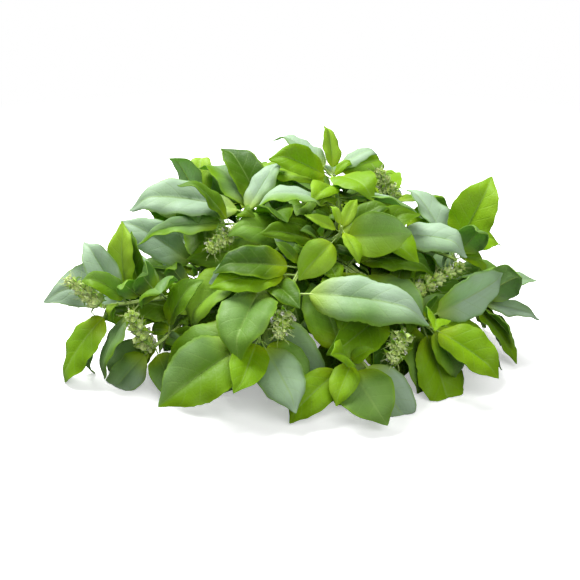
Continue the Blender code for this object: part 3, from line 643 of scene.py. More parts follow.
def gap_cell(point, axes):
    """The cell in which a point is seen."""
    sight, away = SIGHT_TO - SIGHT_FROM, point / MM - SIGHT_FROM
    scale = sight.length_squared / away.dot(sight)
    places = (away.dot(axis) * scale - middle for axis, middle in zip(axes, GAP_MIDDLE))
    return tuple(round(place / GAP_CELL) for place in places)


def fill_gaps(routes, leaves, guards):
    """Leaves that grow from any stem into gaps through which nothing is seen."""
    draw, axes, rays = random.Random("gaps"), sight_axes(), gap_rays(guards)
    names = [name for name in routes if name != "tip"]
    for _ in range(GAP_TRIES):
        name, length, look = draw.choice(names), draw.uniform(*GAP_LENGTHS), draw.choice(GAP_LOOKS)
        share, bearing, rise = draw.uniform(*GAP_PLACES), draw.uniform(0, 360), draw.uniform(*GAP_RISES)
        start, way = routes[name].at(share), aim(bearing, rise) * length * MM
        if sum(gap_cell(start + way * part, axes) in rays for part in GAP_PARTS) < GAP_HITS:
            continue
        count = len(guards)
        spec = (share, bearing, rise, 0, length, *GAP_FORM, look)
        add_shoot(name, routes[name], spec, guards, leaves, SWINGS[:1])
        if len(guards) > count:
            tree = guards[-1][2]
            rays = {cell: ray for cell, ray in rays.items() if not tree.ray_cast(SIGHT_FROM * MM, ray)[0]}


def add_shoot(name, route, spec, guards, leaves, swings):
    """Adds one small leaf where there is room for it under the plant's top."""
    leaf = place_leaf(name, route, RADII.get(name, BRANCH_RADIUS), spec, guards, swings)
    if leaf and spine(leaf, leaf.stalk + leaf.length)[0].z < PLANT_TOP * MM:
        leaves[name].append(leaf)


def ordered_specs(routes):
    """Every leaf's stem and entry in the order of placing: the tip's, the foremost by size, the pairs."""
    foremost = [("main", spec) for spec in MAIN_LEAVES]
    foremost += [(name, spec) for name, branch in BRANCHES.items() for spec in branch.leaves]
    foremost.sort(key=lambda entry: -entry[1][4])
    pairs = []
    for name in BRANCHES:
        rng = random.Random(f"{name} {PAIR_SEED}")
        looks = random.Random(name)
        pairs += [(name, (*spec, looks.choice(PAIR_LOOKS))) for spec in pair_specs(rng, routes[name])]
    return [("tip", spec) for spec in TIP_LEAVES] + foremost + pairs


def calyx_places(axis):
    """Foot, direction and size of every calyx of a spike, each whorl turned against the one before it."""
    count = max(2, round(axis.length / (WHORL_STEP * MM)))
    along = axis.direction(0.5)
    across = along.orthogonal().normalized()
    tilt = math.radians(CALYX_TILT)
    for whorl in range(count):
        share = (whorl + FIRST_WHORL) / count
        size = blend((1.0, LAST_CALYX), share)
        for k in range(CALYX_COUNT):
            turn = Matrix.Rotation(2 * math.pi * (k + whorl / 2) / CALYX_COUNT, 3, along)
            way = along * math.cos(tilt) + turn @ across * math.sin(tilt)
            inset = blend(SPIKE_RADIUS, share) * CALYX_FOOT * MM
            yield off_axis(axis.at(share), along, way, inset), way, size


# Fine leaves
FINE_THICKNESS = 0.38
FINE_ROW = 1.35  # length of one row of a fine blade
LEAST_ROWS = 8
FINE_COLUMNS = ((30.0, 14), (18.0, 10), (0.0, 6))  # columns of a blade that is longer than the first number
LEAST_WIDTHS = (0.45, 0.12)  # least half width of a blade at its foot and at its tip
FULL_SIZE = (45.0, 1.2)  # blade length with full relief, and the most that a longer one has
VEINS = 6.0  # side veins on each half of a blade
VEIN_SWEEP = 1.25  # how far the side veins run forward, beside their spacing
QUILT_EDGE = (0.03, 0.35)  # across a half blade, where the quilting between the veins sets in
GROOVE = (1.3, 1.1)  # depth of the groove over the midrib beside the quilting, and its half width
RIPPLES = (7.4, 2.0)  # half waves of the ruffled margin, and the other margin's shift
RIPPLE_PHASES = 2.3
TEETH = (15.0, 0.018)  # shallow teeth on each margin, and their depth beside the half width
TOOTH_EDGE = (0.75, 1.0)
MARGIN_CURL = (-0.0006, 0.0022)  # how far the margin rolls under
MARGIN_EDGE = (0.70, 1.0)
TIP_DRAWN = 0.34  # how much narrower the drawn-out tip is than the blade's plain outline
DRAWN_EDGE = (0.76, 0.95)
TIP_CURL = (0.02, 0.15)  # of the blade's length
TIP_EDGE = (0.72, 1.0)
TIP_POWER = 1.5
TIP_SWEEP = 0.06
SMALL_CURL = (2.2, 26.0)  # how much more the smallest leaves curl, and from what length they don't
RIB_RADII = (0.55, 0.42, 0.10)  # at the foot, at the blade's base and at its tip
RIB_SIZES = (42.0, 0.35, 1.15)  # blade length with those radii, and the least and the most beside them
RIB_ROWS = (5, 6, 3.2)  # rings of the stalk, least rings under the blade, and their spacing
RIB_END = 0.94
RIB_START = 0.08  # share of the blade over which the midrib comes down under it
RIB_DEPTH = (0.75, 0.04)  # how far its middle lies under the blade: beside its radius, and more
RIB_SIDES = 6
INNER = (92.0, 80.0, 74.0)  # half lengths of the room round the plant's middle in which leaves get painted shade
INNER_MIDDLE = (0, 8, 26)
INNER_SHARES = (0.35, 0.4)  # how much of that room always gets painted shade, and how much more may
SHADE_LAYERS = ("pale", "glow", "deep", "painted_light_side")  # attributes of a blade's look: bloom with painted sheen, young yellow with painted light through it, painted shade, and which side of it gets painted light
SHADE_STRAY = 0.14
STALK_FINISH, PETAL_FINISH = 2, 3  # places in a piece's list of materials, after the blade's two sides

# Fine stems
UV_SCALE = 100  # of the length along a tube, beside metres
STEM_SIDES = 24
STEM_FORM = (0.86, 0.14, 0.03)  # radius, height of its four corners and depth of the grooves
RING_STEP = 2.2
LEAST_RINGS = 8
KNOT = (0.16, 1.6)  # how much thicker a stem is where a leaf leaves it, and over what length
STEM_END = (0.35, 0.6)  # how far its rounded end reaches and how thick it is there, beside its radius
SUNK = {"main": 0.0, "tip": 1.2, "branch": 1.8, "spike": 1.2}  # how far each starts inside what carries it
SUNK_SWELL = 1.08
DOUBLES = 2e-6
SHARP = math.radians(62)  # from this angle an edge stays sharp
CUT_FACE = (0.9, 0.96, 0.3, 0.42)  # inner radius beside the stem's, outer beside that, depth, length


def smooth(low, high, value):
    t = min(max((value - low) / (high - low), 0.0), 1.0)
    return t * t * (3 - 2 * t)


def chance(leaf, turns, wave_of=math.sin):
    """A share from 0 to 1 that belongs to a leaf."""
    return 0.5 + 0.5 * wave_of(turns * leaf.phase)


def relief(leaf, u, v, width):
    """How far a fine blade stands off the plane across its midrib."""
    settings = bpy.context.scene.scent_leaf_blades
    share, a = outline(u), abs(v)
    big = min(leaf.length / (FULL_SIZE[0] * MM), FULL_SIZE[1])
    veins = 0.5 - 0.5 * math.cos(2 * math.pi * (VEINS * u - VEIN_SWEEP * a))
    quilts = veins * smooth(*QUILT_EDGE, a) * (1 - a**3)
    groove = GROOVE[0] * math.exp(-((v * width / (GROOVE[1] * MM)) ** 2))
    lift = width * share * (leaf.fold * a - leaf.arch * v * v)
    lift += leaf.wave * share * v * v * wave(leaf, u, v, WAVE_TURNS)
    lift += settings.quilting * big * (quilts - groove) * share
    lift += settings.ruffle * big * wave(leaf, u, v, RIPPLES, RIPPLE_PHASES) * a**3 * share
    lift -= blend(MARGIN_CURL, chance(leaf, 5)) * big * smooth(*MARGIN_EDGE, a) ** 2 * share
    return lift


def fine_point(leaf, u, v):
    """The point of a fine blade's middle surface at a share u along it and v, -1 to 1, across it."""
    point, heading, normal = spine(leaf, leaf.stalk + leaf.length * u)
    normal = Matrix.Rotation(leaf.twist * u, 3, heading) @ normal
    side = normal.cross(heading)
    share, a = outline(u), abs(v)
    drawn = 1 - TIP_DRAWN * smooth(*DRAWN_EDGE, u)
    width = max(leaf.width / 2 * share * drawn, blend(LEAST_WIDTHS, u) * MM)
    end = smooth(*TIP_EDGE, u) ** TIP_POWER
    more = 1 + SMALL_CURL[0] * max(1 - leaf.length / (SMALL_CURL[1] * MM), 0.0)
    lift = relief(leaf, u, v, width) - blend(TIP_CURL, chance(leaf, 7, math.cos)) * more * leaf.length * end
    tooth = 1 + TEETH[1] * math.sin(2 * math.pi * TEETH[0] * u) * smooth(*TOOTH_EDGE, a)
    across = width * v * math.cos((leaf.fold - leaf.arch * a) * share) * tooth
    across += TIP_SWEEP * leaf.length * end * math.sin(leaf.phase)
    return above_table(point + side * across + normal * lift, FINE_THICKNESS * MM / 2)


def shaded_look(leaf):
    """The look of a leaf, with deep green painted as shade where it lies well inside the heap and none was
    chosen for it.
    """
    middle = (leaf.base + leaf.heading * leaf.length * 0.5) / MM - Vector(INNER_MIDDLE)
    inside = sum((x / reach) ** 2 for x, reach in zip(middle, INNER))
    shades = inside < INNER_SHARES[0] + INNER_SHARES[1] * random.Random(leaf.phase).random()
    return "d" if leaf.look.isupper() and shades else leaf.look.lower()


def lay_out(sheet, grid, places, finish=0):
    """Gives the faces of a grid their material and their UV map."""
    uv = sheet.loops.layers.uv.verify()
    for face in {face for vert in grid for face in vert.link_faces}:
        face.material_index = finish
        for loop in face.loops:
            loop[uv].uv = places[loop.vert]


def add_blade(sheet, leaf, columns):
    """Adds a leaf's blade to a bmesh as a sheet, with its UV map and the attributes of its look."""
    rows = max(LEAST_ROWS, round(leaf.length / (FINE_ROW * MM)))
    grid = bmesh.ops.create_grid(sheet, x_segments=rows, y_segments=columns, size=1)["verts"]
    layers = [sheet.verts.layers.float[name] for name in SHADE_LAYERS]
    draw = random.Random(leaf.phase)
    looks = LOOKS[shaded_look(leaf)]
    shades = [max(value + draw.uniform(-SHADE_STRAY, SHADE_STRAY), 0.0) for value in looks]
    shades.append(draw.uniform(-1, 1))
    places = {}
    for vert in grid:
        along, v = (vert.co.x + 1) / 2, vert.co.y
        u = 0.5 * along + 0.25 * (1 - math.cos(math.pi * along))
        places[vert] = (u, (v + 1) / 2)
        vert.co = fine_point(leaf, u, v)
        for layer, shade in zip(layers, shades):
            vert[layer] = shade
    lay_out(sheet, grid, places)


def add_tube(sheet, stations, sides, form=None, finish=0):
    """Adds a closed tube through stations of (point, direction, reference, radius) to a bmesh."""
    rings = len(stations)
    grid = bmesh.ops.create_grid(sheet, x_segments=rings + 1, y_segments=sides, size=1)["verts"]
    places, length = {}, [0.0]
    for a, b in zip(stations, stations[1:]):
        length.append(length[-1] + (b[0] - a[0]).length)
    for vert in grid:
        ring = round((vert.co.x + 1) / 2 * (rings + 1)) - 1
        nearest = min(max(ring, 0), rings - 1)
        angle = math.pi * vert.co.y
        point, direction, reference, radius = stations[nearest]
        across = (reference - direction * reference.dot(direction)).normalized()
        around = direction.cross(across)
        shape = 0.0 if ring != nearest else radius * (form(angle) if form else 1.0)
        places[vert] = (length[nearest] * UV_SCALE, (vert.co.y + 1) / 2)
        vert.co = point + (across * math.cos(angle) + around * math.sin(angle)) * shape
    lay_out(sheet, grid, places, finish)
    return grid


def add_rib(sheet, leaf):
    """Adds the stalk and the midrib under the blade as one tapering tube."""
    stations = []
    full, least, most = RIB_SIZES
    stalk_rings, blade_rings = RIB_ROWS[0], max(RIB_ROWS[1], round(leaf.length / (RIB_ROWS[2] * MM)))
    size = min(max(leaf.length / (full * MM), least), most)
    for i in range(stalk_rings + blade_rings + 1):
        in_stalk = i < stalk_rings
        u = 0.0 if in_stalk else RIB_END * (i - stalk_rings) / blade_rings
        run = leaf.stalk * i / stalk_rings if in_stalk else leaf.stalk + leaf.length * u
        point, heading, normal = spine(leaf, run)
        radii = RIB_RADII[:2] if in_stalk else RIB_RADII[1:]
        radius = blend(radii, i / stalk_rings if in_stalk else u) * size * MM
        if not in_stalk:
            depth = radius * RIB_DEPTH[0] + RIB_DEPTH[1] * MM
            point = fine_point(leaf, u, 0.0) - normal * depth * smooth(0.0, RIB_START, u)
        stations.append((Vector((point.x, point.y, max(point.z, radius))), heading, normal, radius))
    add_tube(sheet, stations, RIB_SIDES, finish=STALK_FINISH)


def square_stem(angle):
    """Radius of a four-angled stem beside its corner radius, with a shallow groove in each side."""
    radius, corners, grooves = STEM_FORM
    return radius + corners * math.cos(4 * angle) - grooves * math.cos(8 * angle)


def stem_stations(route, radii, shares, back):
    """Stations along a stem, swollen where leaves leave it, from back inside what carries it to its end."""
    count = max(LEAST_RINGS, round(route.length / (RING_STEP * MM)))
    stations = []
    for i in range(count + 1):
        share = i / count
        near = min((abs(share - other) * route.length for other in shares), default=1.0)
        swell = 1 + KNOT[0] * math.exp(-((near / (KNOT[1] * MM)) ** 2))
        stations.append((route.at(share), route.direction(share), UP, blend(radii, share) * MM * swell))
    point, way, _, radius = stations[0]
    stations.insert(0, (point - way * back * MM, way, UP, radius * SUNK_SWELL))
    point, way, _, radius = stations[-1]
    stations.append((point + way * radius * STEM_END[0], way, UP, radius * STEM_END[1]))
    return stations


def finish_mesh(item):
    """Merges doubles, smooths the faces, keeps sharp rims sharp and moves the mesh to the row's origin."""
    shell = bmesh.new()
    shell.from_mesh(item.data)
    bmesh.ops.remove_doubles(shell, verts=shell.verts, dist=DOUBLES)
    bmesh.ops.dissolve_degenerate(shell, dist=DOUBLES / 2, edges=shell.edges)
    for face in shell.faces:
        face.smooth = True
    for edge in shell.edges:
        edge.smooth = len(edge.link_faces) == 2 and edge.calc_face_angle(0.0) < SHARP
    for vert in shell.verts:
        vert.co.z = max(vert.co.z, 0.0)
    bmesh.ops.translate(shell, verts=shell.verts, vec=-ORIGIN)
    shell.to_mesh(item.data)
    shell.free()
    item.data.update()


def new_piece(name, sheet, finishes):
    """A new object from a bmesh, with its materials."""
    mesh = bpy.data.meshes.new(name)
    sheet.to_mesh(mesh)
    sheet.free()
    for finish in finishes:
        mesh.materials.append(finish)
    item = bpy.data.objects.new(name, mesh)
    bpy.context.scene.collection.objects.link(item)
    return item


def new_sheet():
    """An empty bmesh with the attributes of a blade's look."""
    sheet = bmesh.new()
    for name in SHADE_LAYERS:
        sheet.verts.layers.float.new(name)
    return sheet


def thickened(name, sheet, finishes):
    """A new piece of blades with their thickness, the second material underneath, and a bmesh of it."""
    item = new_piece(name, sheet, finishes)
    solid = item.modifiers.new("thickness", "SOLIDIFY")
    solid.thickness = bpy.context.scene.scent_leaf_blades.thickness
    solid.offset = 0
    solid.material_offset = 1
    solid.material_offset_rim = 1
    bpy.context.view_layer.update()
    graph = bpy.context.evaluated_depsgraph_get()
    made = bpy.data.meshes.new_from_object(item.evaluated_get(graph))
    item.modifiers.clear()
    item.data = made
    whole = bmesh.new()
    whole.from_mesh(made)
    return item, whole


def close_piece(item, whole):
    """Writes the bmesh back to its piece and finishes it."""
    whole.to_mesh(item.data)
    whole.free()
    finish_mesh(item)
    return item


def leafy_piece(name, route, radii, leaves, back):
    """One stem with its fine leaves as one piece."""
    sheet = new_sheet()
    for leaf in leaves:
        add_blade(sheet, leaf, next(count for length, count in FINE_COLUMNS if leaf.length > length * MM))
    item, whole = thickened(name, sheet, leaf_finishes())
    for leaf in leaves:
        add_rib(whole, leaf)
    stations = stem_stations(route, radii, [leaf.share for leaf in leaves], back)
    add_tube(whole, stations, STEM_SIDES, square_stem, STALK_FINISH)
    return close_piece(item, whole)


# Fine flower spikes
CUP_SIDES = 8
CUP_PROFILE = (  # height along a calyx and radius, beside its length and greatest radius
    (0.0, 0.12), (0.16, 0.14), (0.26, 0.55), (0.45, 0.92),
    (0.72, 0.86), (1.0, 1.12), (0.97, 0.98), (0.62, 0.62),
)
BUD_PROFILE = (*CUP_PROFILE[:5], (1.0, 0.3))
PETAL_PROFILE = ((0.0, 0.3), (0.45, 0.42), (0.8, 0.75), (1.0, 1.25), (0.93, 0.95), (0.5, 0.3))
CUP_RADIUS = 1.75
CUP_BEND = 0.5  # radians that a calyx curves towards the tip of its spike
CUP_TEETH = (4, 0.16)  # their number and their depth beside the calyx's length
CUP_RIM = 0.9  # the first ring from this height up is the rim
RIM_ROOM = (0.04, 0.5)  # how far under the rim and how near its axis a point still belongs to it
CUP_LENGTHS = (0.85, 1.05)
CUP_STRAY = 0.18
BETWEEN_SIZE = 0.75  # of the calyces between two whorls
FLOWER_SHARE = 0.12
FLOWER = (0.62, 0.12, 0.72, 0.75, 0.2)  # how far out and up it starts, its length, radius and teeth
BRACT_LENGTHS = (4.0, 8.0)
BRACT_WIDTH = 0.36
BRACT_STALK = 0.12
BRACT_DROOPS = (0.3, 1.1)  # radians
BRACT_FOLDS = (0.3, 0.6)
BRACT_ARCH = 0.1
BRACT_WAVE = 0.02
BRACT_STRAY = (-0.5, 0.4)
BRACT_LOOKS = "yyb"
BRACT_COLUMNS = 4
THREADS = 2  # styles and stamens beside each calyx
THREAD_LENGTHS = (2.4, 4.6)
THREAD_RADIUS = 0.10
THREAD_STEPS, THREAD_SIDES = 3, 3
THREAD_TAPER = 0.5
THREAD_BEND = (0.7, 0.5)  # how far it strays and how far it turns to the tip of the spike
BUDS = (5, 0.35, 0.4, 2.2, 0.55)  # at the tip: their number, spread, depth, length and radius
SPIKE_SIDES = 10


def add_cup(sheet, foot, way, along, length, radius, profile, teeth, finish=STALK_FINISH):
    """Adds a small bell with a toothed rim, curved towards a direction, to a bmesh."""
    side = (along - way * along.dot(way)).normalized()
    stations = []
    for height, wide in profile:
        angle = CUP_BEND * height
        point = foot + (way * math.sin(angle) + side * (1 - math.cos(angle))) * (length / CUP_BEND)
        direction = way * math.cos(angle) + side * math.sin(angle)
        stations.append((point, direction, direction.cross(side), radius * wide))
    grid = add_tube(sheet, stations, CUP_SIDES, finish=finish)
    rim = next(i for i, (height, _) in enumerate(profile) if height > CUP_RIM)
    centre, direction = stations[rim][:2]
    for vert in grid:
        out = vert.co - centre
        if out.dot(direction) > -RIM_ROOM[0] * length and out.length > radius * RIM_ROOM[1]:
            around = out.normalized()
            turn = math.atan2(around.dot(stations[0][2]), around.dot(side))
            vert.co += direction * length * teeth * (0.4 + 0.6 * math.cos(CUP_TEETH[0] * turn))


def small_leaf(foot, way, along, length, seed, look):
    """A small pointed leaf with hardly any stalk, for the bracts of a spike."""
    draw = random.Random(seed)
    normal = (along - way * along.dot(way)).normalized()
    return Leaf(
        base=foot,
        heading=way,
        normal=normal,
        stalk=length * BRACT_STALK,
        length=length,
        width=length * BRACT_WIDTH,
        droop=draw.uniform(*BRACT_DROOPS),
        fold=draw.uniform(*BRACT_FOLDS),
        arch=BRACT_ARCH,
        wave=length * BRACT_WAVE,
        phase=draw.uniform(0, 6.28),
        twist=draw.uniform(-TWIST, TWIST),
        look=look,
        share=0.5,
    )


def add_thread(sheet, start, way, along, draw):
    """Adds one thin bent style or stamen to a bmesh."""
    length = draw.uniform(*THREAD_LENGTHS) * MM
    stray = Vector([draw.uniform(-1, 1) for _ in range(3)])
    stations = []
    for i in range(THREAD_STEPS + 1):
        share = i / THREAD_STEPS
        direction = (way + (stray * THREAD_BEND[0] + along * THREAD_BEND[1]) * share).normalized()
        start = start + direction * length / THREAD_STEPS
        radius = THREAD_RADIUS * (1 - THREAD_TAPER * share) * MM
        stations.append((start, direction, along.cross(way), radius))
    add_tube(sheet, stations, THREAD_SIDES, finish=STALK_FINISH)


def add_bracts(sheet, places, along, draw):
    """Adds one small leaf under every calyx."""
    for i, (foot, way, size) in enumerate(places):
        turned = (way + along * draw.uniform(*BRACT_STRAY)).normalized()
        length = draw.uniform(*BRACT_LENGTHS) * size * MM
        leaf = small_leaf(foot, turned, along, length, i, draw.choice(BRACT_LOOKS))
        add_blade(sheet, leaf, BRACT_COLUMNS)


def add_calyx(sheet, foot, way, along, size, draw):
    """Adds one calyx with its threads and, now and then, its flower."""
    way = (way + Vector([draw.uniform(-CUP_STRAY, CUP_STRAY) for _ in range(3)])).normalized()
    length = CALYX_LENGTH * size * draw.uniform(*CUP_LENGTHS) * MM
    add_cup(sheet, foot, way, along, length, CUP_RADIUS * size * MM, CUP_PROFILE, CUP_TEETH[1])
    for _ in range(THREADS):
        add_thread(sheet, foot + way * length * 0.5, way, along, draw)
    if draw.random() < FLOWER_SHARE:
        out, up, part, width, teeth = FLOWER
        start, radius = foot + way * length * out + along * length * up, width * size * MM
        add_cup(sheet, start, way, along, length * part, radius, PETAL_PROFILE, teeth, PETAL_FINISH)


def spike_piece(name, axis, finishes):
    """One flower spike: its axis, whorls of calyces with bracts under them, and the buds at its tip."""
    draw = random.Random(name)
    sheet = new_sheet()
    along = axis.direction(0.5)
    places = list(calyx_places(axis))
    add_bracts(sheet, places, along, draw)
    item, whole = thickened(name, sheet, finishes)
    between = Matrix.Rotation(math.pi / CALYX_COUNT, 3, along)
    step = along * WHORL_STEP / 2 * MM
    places += [(foot + step, between @ way, size * BETWEEN_SIZE) for foot, way, size in places]
    for foot, way, size in places:
        add_calyx(whole, foot, way, along, size, draw)
    stations = stem_stations(axis, SPIKE_RADIUS, (), SUNK["spike"])
    add_tube(whole, stations, SPIKE_SIDES, finish=STALK_FINISH)
    count, spread, depth, length, radius = BUDS
    for k in range(count):
        turn = Matrix.Rotation(2 * math.pi * k / count, 3, along)
        way = (along + turn @ along.orthogonal().normalized() * spread).normalized()
        foot = axis.at(1) - along * depth * MM
        add_cup(whole, foot, way, along, length * MM, radius * MM, BUD_PROFILE, 0.0)
    return close_piece(item, whole)


# Materials
VEIN_INPUTS = {"UV": None, "Vein Width": 0.1, "Draw": 0.0}
VEIN_OUTPUTS = ("Veins", "Midrib", "Margin", "Along", "Across", "Streaks")
MOTTLE_INPUTS = {"Position": None, "Patch Scale": 45.0, "Net Scale": 560.0}
MOTTLE_OUTPUTS = ("Patches", "Cloud", "Mottle", "Net")
WHITE = (1.0, 1.0, 1.0, 1.0)
VEIN_FADE = (0.7, 0.97)  # across a half blade, where the side veins end
VEIN_TIP = (0.84, 0.97)  # along the blade
MIDRIB_EDGE = (0.015, 0.075)
# the margin, which gets painted light through the blade and less bloom and painted sheen
MARGIN_GLOW_EDGE = (0.84, 1.0)
STREAK_SCALES = (1.8, 17.0, 47.0)  # along a blade, across it, and from one leaf to the next
STREAK_EDGE = (0.32, 0.68)
PATCH_EDGE = (0.36, 0.64)
CLOUD_SCALE, MOTTLE_SCALE = 44.0, 420.0
CLOUD_EDGE = (0.3, 0.7)
NET_WIDTH = 0.16
LIT_SIDE_TILT = (1.5, 9.0, 0.7)  # painted light: how much brighter one side of a blade is, paler with painted sheen and glowing less than the other: across it, and turns and share along it
# how much painted glow the side with more painted sheen loses
LIT_SIDE_GLOW = 0.35
# shares of the painted shade of deep leaves, of the young yellow and painted light through a blade, and of
# the painted light through its margin
DEEP_SHADE_SHARE, GLOW_SHARE, MARGIN_GLOW_SHARE = 0.9, 0.9, 0.5
YOUNG_RISE = (0.95, 1.5, 0.0, 0.8)  # two glows, and the shares of young green at them
BLOOM_SHEEN_REACH = (0.68, 0.8, 0.5)  # even cover of the bloom and its painted sheen, and how far the painted light on one side and the clouds change it
BLOOM_SHEEN_EDGE = (0.12, 0.98)
BARE_MARGIN = 0.55  # how much of its bloom and painted sheen the margin lacks
UNDER_BLOOM_SHEEN = (0.8, 0.16)  # share of the upper side's bloom and painted sheen, and how much more there is
# where along a blade its foot gets a painted glow of light through it
FOOT_GLOW_REACH = (0.0, 0.34, 0.75, 0.0)
STREAK_SHARE, STREAK_DARK = 0.10, 0.65
VEIN_SHARE, MIDRIB_SHARE = 0.13, 0.42
UPPER_SIDE = (0.09, -0.45, -0.3)  # width of the side veins, and height of them and of their net
UNDER_SIDE = (0.13, 0.5, 0.35)
STREAK_HEIGHT = 0.12
BLADE_BUMP = (0.4, 0.0003)  # strength and distance
BLADE_ROUGHNESS = (0.46, 0.60)
THROUGH_SHARE, THROUGH_TINT = 0.38, 0.6
STALK_NET = 1500.0
STALK_STRETCH = (1.2, 30.0, 1.0)
STALK_EDGE = (0.35, 0.65)
STALK_DARK, STALK_STREAKS = 0.55, 0.35
STALK_BUMP = (0.3, 0.0002)
STALK_ROUGHNESS = (0.42, 0.6)


class Tree:
    """Adds nodes to a shader tree and links their sockets."""

    def __init__(self, tree):
        self.tree = tree

    def node(self, kind, inputs=None, **settings):
        """Adds a node and gives back its outputs."""
        made = self.tree.nodes.new("ShaderNode" + kind)
        for key, value in settings.items():
            setattr(made, key, value)
        for key, value in (inputs or {}).items():
            self.feed(made.inputs[key], value)
        return made.outputs

    def feed(self, socket, value):
        if isinstance(value, bpy.types.NodeSocket):
            self.tree.links.new(value, socket)
        else:
            socket.default_value = value

    def math(self, operation, *values, clamp=False):
        return self.node("Math", dict(enumerate(values)), operation=operation, use_clamp=clamp)[0]

    def times(self, first, second, clamp=False):
        return self.math("MULTIPLY", first, second, clamp=clamp)

    def span(self, value, low, high, out_low=0.0, out_high=1.0, kind="SMOOTHSTEP"):
        ends = dict(enumerate((value, low, high, out_low, out_high)))
        return self.node("MapRange", ends, interpolation_type=kind)[0]

    def fall(self, value, low, high):
        """A span that goes from 1 down to 0."""
        return self.span(value, low, high, 1.0, 0.0)

    def mix(self, share, first, second):
        return self.node("Mix", {0: share, 6: first, 7: second}, data_type="RGBA")[2]

    def coats(self, colour, layers):
        """A colour under layers of (share, colour), one over the other."""
        for share, tone in layers:
            colour = self.mix(share, colour, rgba(tone))
        return colour

    def noise(self, place, scale, detail, **more):
        return self.node("TexNoise", {"Vector": place, "Scale": scale, "Detail": detail, **more})[0]

    def bump(self, height, strength, distance):
        return self.node("Bump", {"Height": height, "Strength": strength, "Distance": distance})[0]

    def group(self, group, inputs):
        made = self.tree.nodes.new("ShaderNodeGroup")
        made.node_tree = group
        for key, value in inputs.items():
            self.feed(made.inputs[key], value)
        return made.outputs

    def both(self, share, first, second):
        """Two shaders, the second to a share."""
        return self.node("MixShader", {0: share, 1: first, 2: second})[0]


def rgba(colour):
    return (*colour[:3], 1.0)


def shared_group(name, inputs, outputs, paint):
    """A shader node group, painted when it is first asked for. An input without a value is a vector."""
    if name not in bpy.data.node_groups:
        group = bpy.data.node_groups.new(name, "ShaderNodeTree")
        for label, value in inputs.items():
            kind = "NodeSocketVector" if value is None else "NodeSocketFloat"
            socket = group.interface.new_socket(label, in_out="INPUT", socket_type=kind)
            if value is not None:
                socket.default_value = value
        for label in outputs:
            group.interface.new_socket(label, in_out="OUTPUT", socket_type="NodeSocketFloat")
        given = group.nodes.new("NodeGroupInput").outputs
        result = group.nodes.new("NodeGroupOutput").inputs
        for label, value in zip(outputs, paint(Tree(group), given)):
            group.links.new(value, result[label])
    return bpy.data.node_groups[name]


def paint_veins(tree, given):
    """Side veins, midrib, margin, places along and across, and streaks of a blade, from its UV map."""
    u, across = tree.node("SeparateXYZ", {0: given["UV"]})[:2]
    a = tree.math("ABSOLUTE", tree.math("MULTIPLY_ADD", across, 2.0, -1.0))
    order = tree.math("SUBTRACT", tree.times(u, VEINS), tree.times(a, VEIN_SWEEP))
    line = tree.fall(tree.math("PINGPONG", order, 0.5), 0.0, given["Vein Width"])
    veins = tree.times(tree.times(line, tree.fall(a, *VEIN_FADE)), tree.fall(u, *VEIN_TIP))
    places = zip((u, across, given["Draw"]), STREAK_SCALES)
    stretched = {i: tree.times(place, scale) for i, (place, scale) in enumerate(places)}
    streaks = tree.span(tree.noise(tree.node("CombineXYZ", stretched)[0], 1.0, 2.0), *STREAK_EDGE)
    midrib, margin = tree.fall(a, *MIDRIB_EDGE), tree.span(a, *MARGIN_GLOW_EDGE)
    return veins, midrib, margin, u, tree.math("SUBTRACT", across, 0.5), streaks


def paint_mottle(tree, given):
    """Soft patches, clouds, fine mottling and a net of the smallest veins, from a position."""
    place = given["Position"]
    cells = {"Vector": place, "Scale": given["Net Scale"]}
    net = tree.node("TexVoronoi", cells, feature="DISTANCE_TO_EDGE")[0]
    return (
        tree.span(tree.noise(place, given["Patch Scale"], 2.0), *PATCH_EDGE),
        tree.span(tree.noise(place, CLOUD_SCALE, 1.5), *CLOUD_EDGE),
        tree.span(tree.noise(place, MOTTLE_SCALE, 3.0, Roughness=0.6), *CLOUD_EDGE),
        tree.fall(net, 0.0, NET_WIDTH),
    )


def veins_at(tree, width, draw):
    """The outputs of the vein group in a material, on the blade's UV map."""
    group = shared_group("blade_veins", VEIN_INPUTS, VEIN_OUTPUTS, paint_veins)
    return tree.group(group, {"UV": tree.node("UVMap")[0], "Vein Width": width, "Draw": draw})


def mottle_at(tree, patches=MOTTLE_INPUTS["Patch Scale"], net=MOTTLE_INPUTS["Net Scale"]):
    """The outputs of the mottle group in a material, on the object's own coordinates."""
    group = shared_group("plant_mottle", MOTTLE_INPUTS, MOTTLE_OUTPUTS, paint_mottle)
    place = tree.node("TexCoord")["Object"]
    return tree.group(group, {"Position": place, "Patch Scale": patches, "Net Scale": net})


def new_material(name):
    """A material with an empty node tree."""
    made = bpy.data.materials.new(name)
    made.use_nodes = True
    made.node_tree.nodes.clear()
    return made, Tree(made.node_tree)


